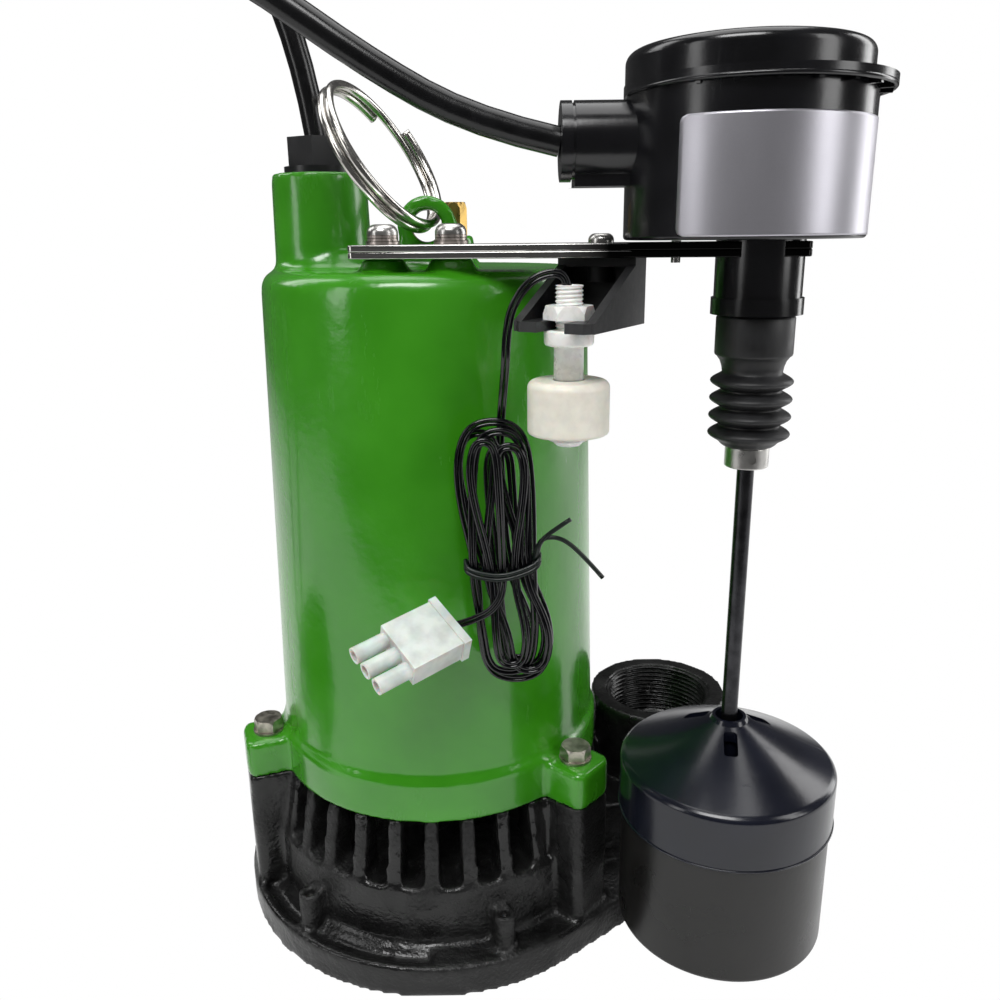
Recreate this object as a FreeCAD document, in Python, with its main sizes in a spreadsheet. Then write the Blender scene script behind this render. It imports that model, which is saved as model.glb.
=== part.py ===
import FreeCAD, Part
import Sketcher
import math
import os
import re
from FreeCAD import Placement, Rotation, Vector

# Submersible sump pump with a vertical float switch and an alarm float.
# Millimetres. Origin on the floor under the shaft, +Z up, +X towards the float, +Y to the back.

SIZES = {
    # motor housing casting
    "split": 65.8,
    "rim_radius": 70.6,
    "rim_top": 83.6,
    "wall_low": 68.9,
    "wall_high": 64.4,
    "housing_top": 275.0,
    "shoulder": 7.0,
    "bore": 58.0,
    "top_wall": 12.0,
    "ear_far": 77.0,
    "ear_wide": 21.5,
    "ear_round": 4.0,
    "ear_top": 82.0,
    "ear_angle": -161.0,
    # cord neck and gland
    "neck_x": -40.3,
    "neck_low": 19.4,
    "neck_high": 18.3,
    "neck_top": 310.5,
    "neck_bore": 9.5,
    "gland_flange": 13.2,
    "gland_flange_thick": 2.5,
    "gland_across": 20.6,
    "gland_nut_high": 10.6,
    "gland_shank": 9.2,
    "cord_wide": 9.2,
    # lifting lug and its ring
    "lug_x": 2.0,
    "lug_y": -12.0,
    "lug_eye_z": 290.5,
    "lug_eye": 6.0,
    "lug_round": 11.2,
    "lug_thick": 9.0,
    "lug_foot": 34.0,
    "ring_round": 29.5,
    "ring_wire": 3.3,
    "ring_pitch": 3.5,
    "ring_lean": 32.3,
    "ring_turn": 16.5,
    # oil fill plug
    "plug_x": 10.5,
    "plug_y": 32.0,
    "plug_across": 9.5,
    "plug_top": 300.5,
    "plug_boss": 8.0,
    "plug_boss_top": 287.0,
    "plug_shank": 4.0,
    # volute base casting
    "foot_radius": 89.2,
    "foot_top": 13.5,
    "volute_radius": 76.0,
    "sill": 38.8,
    "ceiling": 5.0,
    "strainer_outer": 75.0,
    "strainer_inner": 62.0,
    "strainer_top": 62.0,
    "rib_count": 30,
    "rib_thick": 5.4,
    "chamber": 58.0,
    "eye": 22.0,
    "seat_bore": 54.0,
    "recess_inset": 3.8,
    "recess_wide": 6.4,
    "recess_deep": 3.0,
    "pillar_inset": 8.2,
    "pillar_radius": 4.6,
    "pillar_top": 29.0,
    "pillar_angle": -129.5,
    "plate_inset": 3.0,
    "plate_thick": 8.0,
    "plate_screw": 2.2,
    # discharge
    "port_x": 103.6,
    "port_y": 19.6,
    "port_outer": 31.6,
    "port_top": 75.7,
    "port_thread": 24.1,
    "port_thread_deep": 26.0,
    "port_throat": 19.5,
    "arm_radius": 36.0,
    "arm_top": 41.0,
    "arm_foot": 41.0,
    "channel_wide": 26.0,
    # shaft line
    "shaft": 6.0,
    "shaft_low": 9.5,
    "shaft_high": 237.0,
    "bearing_outer": 16.0,
    "bearing_high": 10.0,
    "upper_bearing": 228.0,
    "lower_bearing": 77.8,
    "running": 0.05,
    "fit": 0.02,
    "core_low": 110.0,
    "core_high": 190.0,
    "rotor_radius": 30.4,
    "air_gap": 0.6,
    "winding_high": 17.0,
    "seal_plate_thick": 10.0,
    "boss_outer": 22.0,
    "seat_outer": 13.0,
    "seat_face": 64.6,
    "seat_deep": 5.2,
    "seal_outer": 11.5,
    "seal_thick": 6.5,
    "spring_round": 8.9,
    "spring_wire": 1.6,
    "hub": 10.5,
    "hub_top": 46.0,
    "impeller_radius": 50.0,
    "impeller_low": 14.5,
    "impeller_disc": 3.0,
    "impeller_top": 32.0,
    "vane_count": 6,
    # hex bolts that hold the housing on the base
    "bolt_shank": 3.0,
    "bolt_across": 11.0,
    "bolt_head": 5.0,
    "bolt_long": 34.0,
    "washer_radius": 6.6,
    "washer_thick": 1.0,
    # strap
    "switch_x": 114.6,
    "switch_y": -68.8,
    "strap_tilt": -11.5,
    "strap_low": 279.4,
    "strap_layer": 2.35,
    "strap_wide": 25.0,
    "strap_left": -137.9,
    "strap_right": 15.0,
    "strap_screw_far": -128.7,
    "strap_screw_near": -103.9,
    "strap_hole": 3.3,
    "pad_radius": 8.0,
    "flat_washer": 1.3,
    "lock_washer": 2.0,
    "screw_head": 5.5,
    "screw_head_high": 3.6,
    "bracket_hole": -51.9,
    "clamp_hole": -27.0,
    "clamp_side": 5.0,
    "clamp_screw": 1.5,
    "neck_hole": 10.2,
    # alarm bracket, in its own turned frame
    "bracket_x": 63.2,
    "bracket_y": -60.5,
    "bracket_turn": -31.0,
    "bracket_wide": 28.5,
    "bracket_deep": 35.5,
    "bracket_wall": 3.0,
    "bracket_back": 6.0,
    "shelf_low": 257.5,
    "shelf_thick": 3.2,
    "stem_out": 22.5,
    "flange_thick": 3.0,
    "pan_head": 4.3,
    "pan_high": 3.0,
    "pan_shank": 2.2,
    # alarm switch
    "thread_radius": 4.54,
    "thread_top": 271.5,
    "nut_across": 14.6,
    "nut_high": 4.4,
    "collar_radius": 8.1,
    "collar_high": 4.9,
    "stem_radius": 4.85,
    "stem_low": 219.6,
    "buoy_radius": 13.55,
    "buoy_low": 223.4,
    "buoy_high": 18.0,
    "buoy_bore": 5.25,
    "buoy_round": 2.6,
    "clip_radius": 6.8,
    "clip_thick": 1.6,
    "reed_radius": 2.1,
    "magnet_inner": 6.8,
    "magnet_outer": 10.6,
    "magnet_high": 8.0,
    # float switch
    "case_x": 108.0,
    "case_radius": 38.0,
    "case_low": 284.8,
    "case_high": 46.2,
    "case_wall": 2.6,
    "case_floor": 3.0,
    "lip_x": 110.1,
    "lip_radius": 41.0,
    "lip_thick": 2.2,
    "cap_x": 106.8,
    "cap_radius": 37.4,
    "cap_high": 9.6,
    "cap_round": 3.4,
    "outlet_drop": 16.1,
    "outlet_radius": 12.1,
    "outlet_end": 49.0,
    "outlet_ring": 3.4,
    "tube_radius": 14.2,
    "tube_bore": 9.0,
    "lock_radius": 15.0,
    "lock_low": 260.9,
    "lock_high": 5.4,
    "nipple_radius": 10.0,
    "nipple_low": 250.0,
    "cuff_radius": 12.9,
    "cuff_low": 247.2,
    "rib_radius": 13.8,
    "valley_radius": 10.0,
    "boot_wall": 1.8,
    "bellows_low": 217.6,
    "bellows_high": 24.0,
    "bellows_count": 4,
    "stem_collar": 7.5,
    "stem_collar_low": 208.8,
    "stem_collar_high": 7.3,
    "set_screw": 1.4,
    "push_rod": 2.95,
    "push_rod_low": 13.6,
    "push_rod_high": 296.5,
    "push_head": 3.2,
    "push_head_high": 2.4,
    "stop_radius": 9.5,
    "stop_thick": 2.4,
    "stop_nut": 11.0,
    "stop_nut_high": 5.4,
    # main float
    "float_radius": 40.36,
    "cup_radius": 39.4,
    "seam": 72.7,
    "float_low": 23.35,
    "float_wall": 2.8,
    "cone_edge": 92.4,
    "cone_low": 94.0,
    "apex": 111.5,
    "apex_radius": 6.3,
    "float_eye": 5.2,
    "guide": 7.4,
    # snap switch inside the case
    "snap_long": 27.0,
    "snap_wide": 10.4,
    "snap_high": 13.0,
    "snap_low": 309.9,
    "lever_reach": 24.0,
    "lever_thick": 1.2,
    "lever_wide": 6.0,
    # cords
    "coil_x": -305.0,
    "coil_y": -42.0,
    "coil_outer": 66.0,
    "coil_step": 9.7,
    "pump_quarters": 19,
    "switch_quarters": 18,
    "coil_lift": 0.2,
    # alarm lead and its hank
    "lead_wide": 3.0,
    "lead_nest": 3.6,
    "layer_back": -74.0,
    "layer_step": 3.6,
    "waist_x": 29.4,
    "waist_z": 173.0,
    "waist_half": 10.5,
    "upper_x": 26.4,
    "upper_z": 208.0,
    "upper_half": 12.8,
    "upper_end": 225.5,
    "lower_x": 34.0,
    "lower_z": 149.0,
    "lower_half": 13.0,
    "lower_end": 132.9,
}

doc = FreeCAD.newDocument("sump_pump")
sheet = doc.addObject("Spreadsheet::Sheet", "dims")
for row, (name, value) in enumerate(SIZES.items(), 1):
    sheet.set(f"A{row}", name)
    sheet.set(f"B{row}", str(value))
    sheet.setAlias(f"B{row}", name)
doc.recompute()

PIECES = []


def spell(text):
    """The expression with every size written as its cell."""
    def cell(word):
        return "dims." + word.group(0) if word.group(0) in SIZES else word.group(0)

    return re.sub(r"[a-z_][a-z_0-9]*", cell, text)


def size(text):
    """The value of an expression of sizes."""
    return float(sheet.evalExpression(spell(text)))


def bind(thing, links):
    for prop, text in links.items():
        thing.setExpression(prop, spell(text))


def place(thing, x="0", y="0", z="0", turn=None):
    bind(thing, {"Placement.Base.x": x, "Placement.Base.y": y, "Placement.Base.z": z})
    if turn:
        thing.setExpression("Placement.Rotation.Angle", spell(turn))


def piece(thing, label):
    """Names the finished solid of a sub-part."""
    thing.Label = label
    PIECES.append(thing)
    return thing


def cylinder(radius, low, high, x="0", y="0"):
    """A round bar along Z from low to high."""
    bar = doc.addObject("Part::Cylinder", "bar")
    bind(bar, {"Radius": radius, "Height": f"({high}) - ({low})"})
    place(bar, x, y, low)
    return bar


def cone(low_radius, high_radius, low, high, x="0", y="0"):
    frustum = doc.addObject("Part::Cone", "cone")
    bind(frustum, {"Radius1": low_radius, "Radius2": high_radius, "Height": f"({high}) - ({low})"})
    place(frustum, x, y, low)
    return frustum


def crossbar(radius, start, long, axis, x="0", y="0", z="0"):
    """A round bar along X or Y that starts at start."""
    bar = doc.addObject("Part::Cylinder", "crossbar")
    bind(bar, {"Radius": radius, "Height": long})
    if axis == "x":
        bar.Placement = Placement(Vector(), Rotation(Vector(0, 1, 0), 90))
        place(bar, start, y, z)
    else:
        bar.Placement = Placement(Vector(), Rotation(Vector(1, 0, 0), -90))
        place(bar, x, start, z)
    return bar


def box(x, y, z, long, wide, high):
    block = doc.addObject("Part::Box", "block")
    bind(block, {"Length": long, "Width": wide, "Height": high})
    place(block, x, y, z)
    return block


def hexagon(across, low, high, x="0", y="0"):
    """A six sided prism, measured across its flats."""
    prism = doc.addObject("Part::Prism", "hexagon")
    prism.Polygon = 6
    bind(prism, {"Circumradius": f"({across}) / 2 / cos(30)", "Height": f"({high}) - ({low})"})
    place(prism, x, y, low)
    return prism


def fuse(*things):
    union = doc.addObject("Part::MultiFuse", "union")
    union.Shapes = list(things)
    return union


def cut(base, *tools):
    result = doc.addObject("Part::Cut", "cut")
    result.Base = base
    result.Tool = tools[0] if len(tools) == 1 else fuse(*tools)
    return result


def group(*things):
    """Separate solids that share one node."""
    bundle = doc.addObject("Part::Compound", "group")
    bundle.Links = list(things)
    return bundle


def origin_plane(body, role):
    return next(f for f in body.Origin.OriginFeatures if f.Role == role)


def sketch_outline(body, points, role, offset=None, turn=None):
    """A closed outline of straight lines in a plane of the body, each corner held by two sizes."""
    sketch = body.newObject("Sketcher::SketchObject", "outline")
    sketch.AttachmentSupport = [(origin_plane(body, role), "")]
    sketch.MapMode = "FlatFace"
    if offset:
        sketch.setExpression("AttachmentOffset.Base.z", spell(offset))
    if turn:
        sketch.setExpression("AttachmentOffset.Rotation.Angle", spell(turn))
    count = len(points)
    spots = [Vector(size(x), size(y), 0) for x, y in points]
    for i in range(count):
        sketch.addGeometry(Part.LineSegment(spots[i], spots[(i + 1) % count]), False)
    for i in range(count):
        sketch.addConstraint(Sketcher.Constraint("Coincident", i, 2, (i + 1) % count, 1))
    for i, (x, y) in enumerate(points):
        for way, text in (("DistanceX", x), ("DistanceY", y)):
            held = sketch.addConstraint(Sketcher.Constraint(way, -1, 1, i, 1, size(text)))
            sketch.setExpression(f"Constraints[{held}]", spell(text))
    return sketch


def turned(points, x="0", y="0", rounds=()):
    """A solid of revolution about Z. Each of rounds is a radius and the corners it rounds."""
    body = doc.addObject("PartDesign::Body", "turned")
    sketch = sketch_outline(body, points, "XZ_Plane")
    turn = body.newObject("PartDesign::Revolution", "turn")
    turn.Profile = sketch
    turn.ReferenceAxis = (sketch, ["V_Axis"])
    turn.Angle = 360
    doc.recompute()
    base = turn
    for radius, corners in rounds:
        spots = [(size(r), size(z)) for r, z in corners]
        names = []
        for i, edge in enumerate(base.Shape.Edges, 1):
            if not isinstance(edge.Curve, Part.Circle):
                continue
            at = (edge.Curve.Radius, edge.Curve.Center.z)
            if any(math.dist(at, spot) < 0.01 for spot in spots):
                names.append(f"Edge{i}")
        fillet = body.newObject("PartDesign::Fillet", "round")
        fillet.Base = (base, names)
        fillet.setExpression("Radius", spell(radius))
        doc.recompute()
        base = fillet
    place(body, x, y)
    return body


def plate(points, low, high, x="0", y="0", turn=None):
    """A flat plate with a straight sided outline, from low to high."""
    body = doc.addObject("PartDesign::Body", "plate")
    sketch = sketch_outline(body, points, "XY_Plane", offset=low)
    pad = body.newObject("PartDesign::Pad", "pad")
    pad.Profile = sketch
    pad.setExpression("Length", spell(f"({high}) - ({low})"))
    place(body, x, y, turn=turn)
    return body


def blend(thing, radius, test):
    """Rounds the edges of a solid that pass a test of their middle point."""
    doc.recompute()
    rounds = []
    for i, edge in enumerate(thing.Shape.Edges, 1):
        middle = edge.valueAt((edge.FirstParameter + edge.LastParameter) / 2)
        if test(edge, middle):
            rounds.append((i, size(radius), size(radius)))
    fillet = doc.addObject("Part::Fillet", "round")
    fillet.Base = thing
    fillet.Edges = rounds
    return fillet


def polar(far, angle):
    """X and Y expressions of a place on a circle about the shaft."""
    return f"({far}) * cos({angle})", f"({far}) * sin({angle})"


def along_strap(far, side="0"):
    """X and Y expressions of a place on the strap, measured from the switch axis."""
    x = f"switch_x + ({far}) * cos(strap_tilt) - ({side}) * sin(strap_tilt)"
    y = f"switch_y + ({far}) * sin(strap_tilt) + ({side}) * cos(strap_tilt)"
    return x, y


EAR_ANGLES = ["ear_angle", "ear_angle + 120", "ear_angle + 240"]
PILLAR_ANGLES = [f"pillar_angle + {step}" for step in (0, 60, 180, 240, 300)]
STRAP_SCREWS = ["strap_screw_far", "strap_screw_near"]
strap_top = "strap_low + 2 * strap_layer"
case_top = "case_low + case_high"
outlet_z = "case_low + case_high - outlet_drop"


def ear_block(low, high, angle, reach="ear_far + ear_wide / 2"):
    """A rounded block that stands out from the casting to carry one bolt."""
    half = "ear_wide / 2"
    outline = [("wall_high - 8", f"-{half}"), (reach, f"-{half}"), (reach, half), ("wall_high - 8", half)]
    block = plate(outline, low, high, turn=angle)
    edge = size(reach)

    def outer(line, middle):
        return abs(line.Vertexes[0].Z - line.Vertexes[-1].Z) > 1 and math.hypot(middle.x, middle.y) > edge

    return blend(block, "ear_round", outer)


def motor_housing():
    shell_outline = [
        ("bore", "split"), ("rim_radius", "split"), ("rim_radius", "rim_top"), ("wall_low", "rim_top + 1.6"),
        ("wall_high", "housing_top"), ("0", "housing_top"), ("0", "upper_bearing + bearing_high + 14"),
        ("bearing_outer - 3", "upper_bearing + bearing_high + 14"),
        ("bearing_outer - 3", "upper_bearing + bearing_high + 0.1"),
        ("bearing_outer + running", "upper_bearing + bearing_high + 0.1"),
        ("bearing_outer + running", "upper_bearing - 2"), ("boss_outer", "upper_bearing - 2"),
        ("boss_outer", "housing_top - top_wall"), ("bore", "housing_top - top_wall"),
    ]
    shell = turned(shell_outline, rounds=[("shoulder", [("wall_high", "housing_top")])])
    neck = cone("neck_low", "neck_high", "housing_top - top_wall", "neck_top", "neck_x")
    skirt = cone("neck_low + 5", "neck_low", "housing_top - 3", "housing_top + 5", "neck_x + 3")
    wire_way = cylinder("neck_bore - 3", "housing_top - top_wall - 1", "neck_top - 19", "neck_x")
    gland_seat = cylinder("neck_bore", "neck_top - 20", "neck_top + 1", "neck_x")
    half = "lug_thick / 2"
    lug_rise = "lug_eye_z + lug_round * sin(35)"
    lug_outline = [
        ("-lug_foot / 2 + 4", "housing_top - 4"), ("lug_foot / 2 + 4", "housing_top - 4"),
        ("lug_round * cos(35)", lug_rise), ("-lug_round * cos(35)", lug_rise),
    ]
    lug_web = doc.addObject("PartDesign::Body", "web")
    web_sketch = sketch_outline(lug_web, lug_outline, "XZ_Plane", offset=f"-{half}")
    web_pad = lug_web.newObject("PartDesign::Pad", "pad")
    web_pad.Profile = web_sketch
    web_pad.setExpression("Length", spell("lug_thick"))
    place(lug_web, "lug_x", "lug_y")
    lug_head = crossbar("lug_round", f"lug_y - {half}", "lug_thick", "y", x="lug_x", z="lug_eye_z")
    lug_hole = crossbar("lug_eye", "lug_y - lug_thick", "2 * lug_thick", "y", x="lug_x", z="lug_eye_z")
    pads = []
    taps = []
    for far in STRAP_SCREWS:
        x, y = along_strap(far)
        pads.append(cylinder("pad_radius", "housing_top - 4", "strap_low", x, y))
        taps.append(cylinder("bolt_shank + running", "strap_low - 15", "strap_low + 1", x, y))
    plug_boss = cone("plug_boss + 2", "plug_boss", "housing_top - 3", "plug_boss_top", "plug_x", "plug_y")
    plug_hole = cylinder("plug_shank + running", "plug_boss_top - 12", "plug_boss_top + 1", "plug_x", "plug_y")
    ears = []
    holes = []
    for angle in EAR_ANGLES:
        ears.append(ear_block("split", "ear_top", angle))
        x, y = polar("ear_far", angle)
        holes.append(cylinder("bolt_shank + 0.3", "split - 1", "ear_top + 1", x, y))
        holes.append(cylinder("washer_radius + 0.4", "ear_top", "ear_top + washer_thick + bolt_head", x, y))
    bore = cylinder("bore", "split - 1", "ear_top + 5")
    body = fuse(shell, neck, skirt, lug_web, lug_head, plug_boss, *pads, *ears)
    piece(cut(body, wire_way, gland_seat, lug_hole, plug_hole, bore, *taps, *holes), "motor_housing")


def hull_prism(near_radius, far_radius, low, high):
    """Fills between two round columns, one at the shaft and one at the discharge."""
    spread = f"acos((({near_radius}) - ({far_radius})) / sqrt(port_x * port_x + port_y * port_y))"
    lean = "atan2(port_y; port_x)"
    points = []
    for radius, x, y, side in (
        (near_radius, "0", "0", "-"), (far_radius, "port_x", "port_y", "-"),
        (far_radius, "port_x", "port_y", "+"), (near_radius, "0", "0", "+"),
    ):
        heading = f"({lean} {side} {spread})"
        points.append((f"{x} + ({radius}) * cos{heading}", f"{y} + ({radius}) * sin{heading}"))
    return plate(points, low, high)


def strainer_wall():
    """The ring of upright ribs that the water enters between."""
    outline = [
        ("strainer_inner", "foot_top"), ("volute_radius", "foot_top"), ("volute_radius", "sill - 1"),
        ("strainer_outer", "sill"), ("rim_radius - 0.4", "split"), ("strainer_inner", "split"),
    ]
    body = turned(outline)
    slot_half = "(strainer_outer * sin(180 / rib_count) - rib_thick / 2)"
    slot_low = "(strainer_inner * sin(180 / rib_count) - rib_thick / 2)"
    points = [
        ("strainer_inner - 6", f"-{slot_low}"), ("strainer_outer + 6", f"-{slot_half}"),
        ("strainer_outer + 6", slot_half), ("strainer_inner - 6", slot_low),
    ]
    sketch = sketch_outline(body, points, "XY_Plane", offset="sill")
    slot = body.newObject("PartDesign::Pocket", "slot")
    slot.Profile = sketch
    slot.Reversed = True
    slot.setExpression("Length", spell("split + 1 - sill"))
    doc.recompute()
    slots = body.newObject("PartDesign::PolarPattern", "slots")
    slots.Originals = [slot]
    slots.Axis = (sketch, ["N_Axis"])
    slots.Angle = 360
    slots.setExpression("Occurrences", spell("rib_count"))
    body.Tip = slots
    return body


def volute_base():
    """The casting in two solids that meet at the top of the foot: the foot, and what stands on it."""
    foot = cylinder("foot_radius", "0", "foot_top")
    foot_end = cylinder("arm_foot", "0", "foot_top", "port_x", "port_y")
    foot_side = hull_prism("foot_radius", "arm_foot", "0", "foot_top")
    arm = cylinder("arm_radius", "foot_top", "arm_top", "port_x", "port_y")
    arm_side = hull_prism("arm_radius + 8", "arm_radius", "foot_top", "arm_top")
    port = cylinder("port_outer", "arm_top - 1", "port_top", "port_x", "port_y")
    body = cylinder("volute_radius - 0.5", "foot_top", "sill")
    solids = [arm, arm_side, port, body, strainer_wall()]
    holes = []
    bolt_holes = []
    for angle in EAR_ANGLES:
        solids.append(ear_block("foot_top", "split", angle, "ear_far + ear_wide / 2 - 0.3"))
        x, y = polar("ear_far", angle)
        bolt_holes.append(cylinder("bolt_shank + running", "ear_top - bolt_long", "split + 1", x, y))
    for angle in PILLAR_ANGLES:
        x, y = polar("foot_radius - pillar_inset", angle)
        web = [("volute_radius - 2", "-2"), ("foot_radius - pillar_inset", "-2"),
               ("foot_radius - pillar_inset", "2"), ("volute_radius - 2", "2")]
        solids.append(plate(web, "foot_top", "pillar_top - 3", turn=angle))
        solids.append(cylinder("pillar_radius", "foot_top", "pillar_top", x, y))
        holes.append(cylinder("plate_screw + running", "plate_thick - 1", "pillar_top + 1", x, y))
    half = "channel_wide / 2"
    channel = plate(
        [("chamber / 2", f"-{half}"), ("port_x", f"-{half}"), ("port_x", half), ("chamber / 2", half)],
        "plate_thick", "sill - ceiling", turn="atan2(port_y; port_x)",
    )
    holes += [
        cone("arm_radius - 4", "port_throat + 1", "plate_thick", "plate_thick + 26", "port_x", "port_y"),
        cylinder("chamber", "-1", "sill - ceiling"), channel,
    ]
    upper_holes = [
        cylinder("strainer_inner", "sill", "strainer_top"),
        cylinder("seat_bore", "strainer_top - 1", "split + 1"),
        cylinder("eye", "sill - ceiling - 1", "sill + 1"),
        cylinder("port_throat", "plate_thick + 1", "port_top", "port_x", "port_y"),
        cylinder("port_thread", "port_top - port_thread_deep", "port_top + 1", "port_x", "port_y"),
    ]
    trough_far = "foot_radius - recess_inset"
    trough_near = f"{trough_far} - recess_wide"
    trough = turned([
        (trough_near, "foot_top - recess_deep"), (trough_far, "foot_top - recess_deep"),
        (trough_far, "foot_top + 1"), (trough_near, "foot_top + 1"),
    ])
    guard = box("0", "-foot_radius", "foot_top - 2 * recess_deep", "foot_radius + 4", "2 * foot_radius", "20")
    plate_seat = cylinder("foot_radius - plate_inset", "-1", "plate_thick")
    piece(cut(fuse(*solids), *holes, *bolt_holes, *upper_holes), "volute_base")
    piece(cut(fuse(foot, foot_end, foot_side), *holes, plate_seat, cut(trough, guard)), "volute_foot")


def bottom_plate():
    disc = cylinder("foot_radius - plate_inset - 0.1", "0", "plate_thick - 0.1")
    holes = []
    screws = []
    for angle in PILLAR_ANGLES:
        x, y = polar("foot_radius - pillar_inset", angle)
        holes.append(cylinder("plate_screw + 0.2", "-1", "plate_thick + 1", x, y))
        holes.append(cylinder("2 * plate_screw + 0.2", "-1", "plate_thick / 2", x, y))
        head = cylinder("2 * plate_screw", "0.4", "plate_thick / 2 - 0.05", x, y)
        shank = cylinder("plate_screw", "plate_thick / 2 - 0.1", "pillar_top - 4", x, y)
        screws.append(fuse(head, shank))
    piece(cut(disc, *holes), "bottom_plate")
    piece(group(*screws), "bottom_plate_screws")


def housing_bolts():
    bolts = []
    washers = []
    for angle in EAR_ANGLES:
        x, y = polar("ear_far", angle)
        seat = "ear_top + washer_thick"
        head = hexagon("bolt_across", seat, f"{seat} + bolt_head", x, y)
        chamfer = cone("bolt_across * 0.75", "bolt_across * 0.45", seat, f"{seat} + bolt_head * 1.25", x, y)
        shaped = doc.addObject("Part::Common", "head")
        shaped.Base = head
        shaped.Tool = chamfer
        shank = cylinder("bolt_shank", "ear_top - bolt_long + 1", seat, x, y)
        bolts.append(fuse(shaped, shank))
        disc = cylinder("washer_radius", "ear_top", seat, x, y)
        washers.append(cut(disc, cylinder("bolt_shank + 0.3", "ear_top - 1", f"{seat} + 1", x, y)))
    piece(group(*bolts, *washers), "housing_bolts")


def gland():
    flange_top = "neck_top + gland_flange_thick"
    nut_top = f"{flange_top} + gland_nut_high"
    shank = cylinder("gland_shank", "neck_top - 18", "neck_top", "neck_x")
    flange = cylinder("gland_flange", "neck_top", flange_top, "neck_x")
    way = cylinder("cord_wide / 2 + 0.3", "neck_top - 19", f"{flange_top} + 1", "neck_x")
    piece(cut(fuse(shank, flange), way), "gland_body")
    nut = hexagon("gland_across", flange_top, nut_top, "neck_x")
    place(nut, "neck_x", "0", flange_top, "30")
    seal_way = cylinder("gland_across / 2 - 2.6", f"{flange_top} - 1", f"{nut_top} + 1", "neck_x")
    piece(cut(nut, seal_way), "gland_nut")
    seal = cylinder("gland_across / 2 - 2.7", f"{flange_top} + 0.1", f"{nut_top} - 0.3", "neck_x")
    piece(seal, "gland_grommet")


def oil_plug():
    head = hexagon("plug_across", "plug_boss_top", "plug_top", "plug_x", "plug_y")
    bevel = cone("plug_across * 0.9", "plug_across * 0.5", "plug_boss_top", "plug_top", "plug_x", "plug_y")
    shaped = doc.addObject("Part::Common", "plug")
    shaped.Base = head
    shaped.Tool = bevel
    shank = cylinder("plug_shank", "plug_boss_top - 11", "plug_boss_top + 1", "plug_x", "plug_y")
    piece(fuse(shaped, shank), "oil_plug")


def motor_inside():
    gap = "rotor_radius + air_gap"
    outer = "bore - running"
    stator = turned([(gap, "core_low"), (outer, "core_low"), (outer, "core_high"), (gap, "core_high")])
    piece(stator, "stator_core")
    ends = []
    for low, high in (("core_low - winding_high", "core_low"), ("core_high", "core_high + winding_high")):
        ring = turned([(f"{gap} + 4", low), ("bore - 6", low), ("bore - 6", high), (f"{gap} + 4", high)])
        ends.append(ring)
    piece(group(*ends), "stator_windings")
    rotor = turned([
        ("shaft + fit", "core_low"), ("rotor_radius", "core_low"), ("rotor_radius", "core_high"),
        ("shaft + fit", "core_high"),
    ])
    piece(rotor, "rotor_core")
    piece(cylinder("shaft", "shaft_low", "shaft_high"), "shaft")
    for low, label in (("upper_bearing", "upper_bearing"), ("lower_bearing", "lower_bearing")):
        race = turned([
            ("shaft + running", low), ("bearing_outer", low),
            ("bearing_outer", f"{low} + bearing_high"), ("shaft + running", f"{low} + bearing_high"),
        ])
        piece(race, label)


def seal_plate():
    top = "split + seal_plate_thick"
    outer = "bore - running"
    groove = "split + seal_plate_thick / 2"
    outline = [
        ("shaft + 1", "split + seat_deep"), ("seat_outer + running", "split + seat_deep"),
        ("seat_outer + running", "split"), (outer, "split"), (outer, f"{groove} - 1.4"),
        (f"{outer} - 2.6", f"{groove} - 1.4"), (f"{outer} - 2.6", f"{groove} + 1.4"),
        (outer, f"{groove} + 1.4"), (outer, top), ("boss_outer", top),
        ("boss_outer", "lower_bearing + bearing_high"),
        ("bearing_outer + running", "lower_bearing + bearing_high"),
        ("bearing_outer + running", "lower_bearing"), ("shaft + 1", "lower_bearing"),
    ]
    piece(turned(outline), "seal_plate")
    ring = doc.addObject("Part::Torus", "o_ring")
    bind(ring, {"Radius1": f"{outer} - 1.3", "Radius2": "1.25"})
    place(ring, z=groove)
    piece(ring, "seal_plate_o_ring")
    seat = turned([
        ("shaft + 0.6", "seat_face"), ("seat_outer", "seat_face"),
        ("seat_outer", "split + seat_deep"), ("shaft + 0.6", "split + seat_deep"),
    ])
    piece(seat, "seal_seat")
    low = "seat_face - 0.05 - seal_thick"
    face = turned([
        ("shaft + running", low), ("seal_outer", low), ("seal_outer", "seat_face - 2"),
        ("seal_outer - 2", "seat_face - 0.05"), ("shaft + running", "seat_face - 0.05"),
    ])
    piece(face, "seal_ring")


def arc_between(start, start_way, end, end_way):
    """Two arcs that leave start along start_way and reach end along end_way."""
    reach = end - start
    ways = start_way + end_way
    spread = 1 - start_way.dot(end_way)
    if spread < 1e-6:
        side = reach.dot(start_way)
        length = reach.dot(reach) / (4 * side)
    else:
        pull = reach.dot(ways)
        length = (math.sqrt(pull * pull + 2 * spread * reach.dot(reach)) - pull) / (2 * spread)
    knee = start + start_way * length
    elbow = end - end_way * length
    joint = (knee + elbow) * 0.5
    way = (elbow - knee).normalize()
    return arc_from(start, start_way, joint) + arc_from(joint, way, end)


def arc_from(start, way, end):
    """The edge that leaves start along way and ends at end: an arc, or a line if straight."""
    chord = end - start
    off = chord - way * chord.dot(way)
    if off.Length < 1e-4 * chord.Length:
        return [Part.LineSegment(start, end).toShape()]
    side = Vector(off).normalize()
    radius = chord.dot(chord) / (2 * chord.dot(side))
    centre = start + side * radius
    turn = 2 * math.atan2(chord.dot(side), chord.dot(way))
    middle = centre - side * (radius * math.cos(turn / 2)) + way * (radius * math.sin(turn / 2))
    return [Part.Arc(start, middle, end).toShape()]


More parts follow.
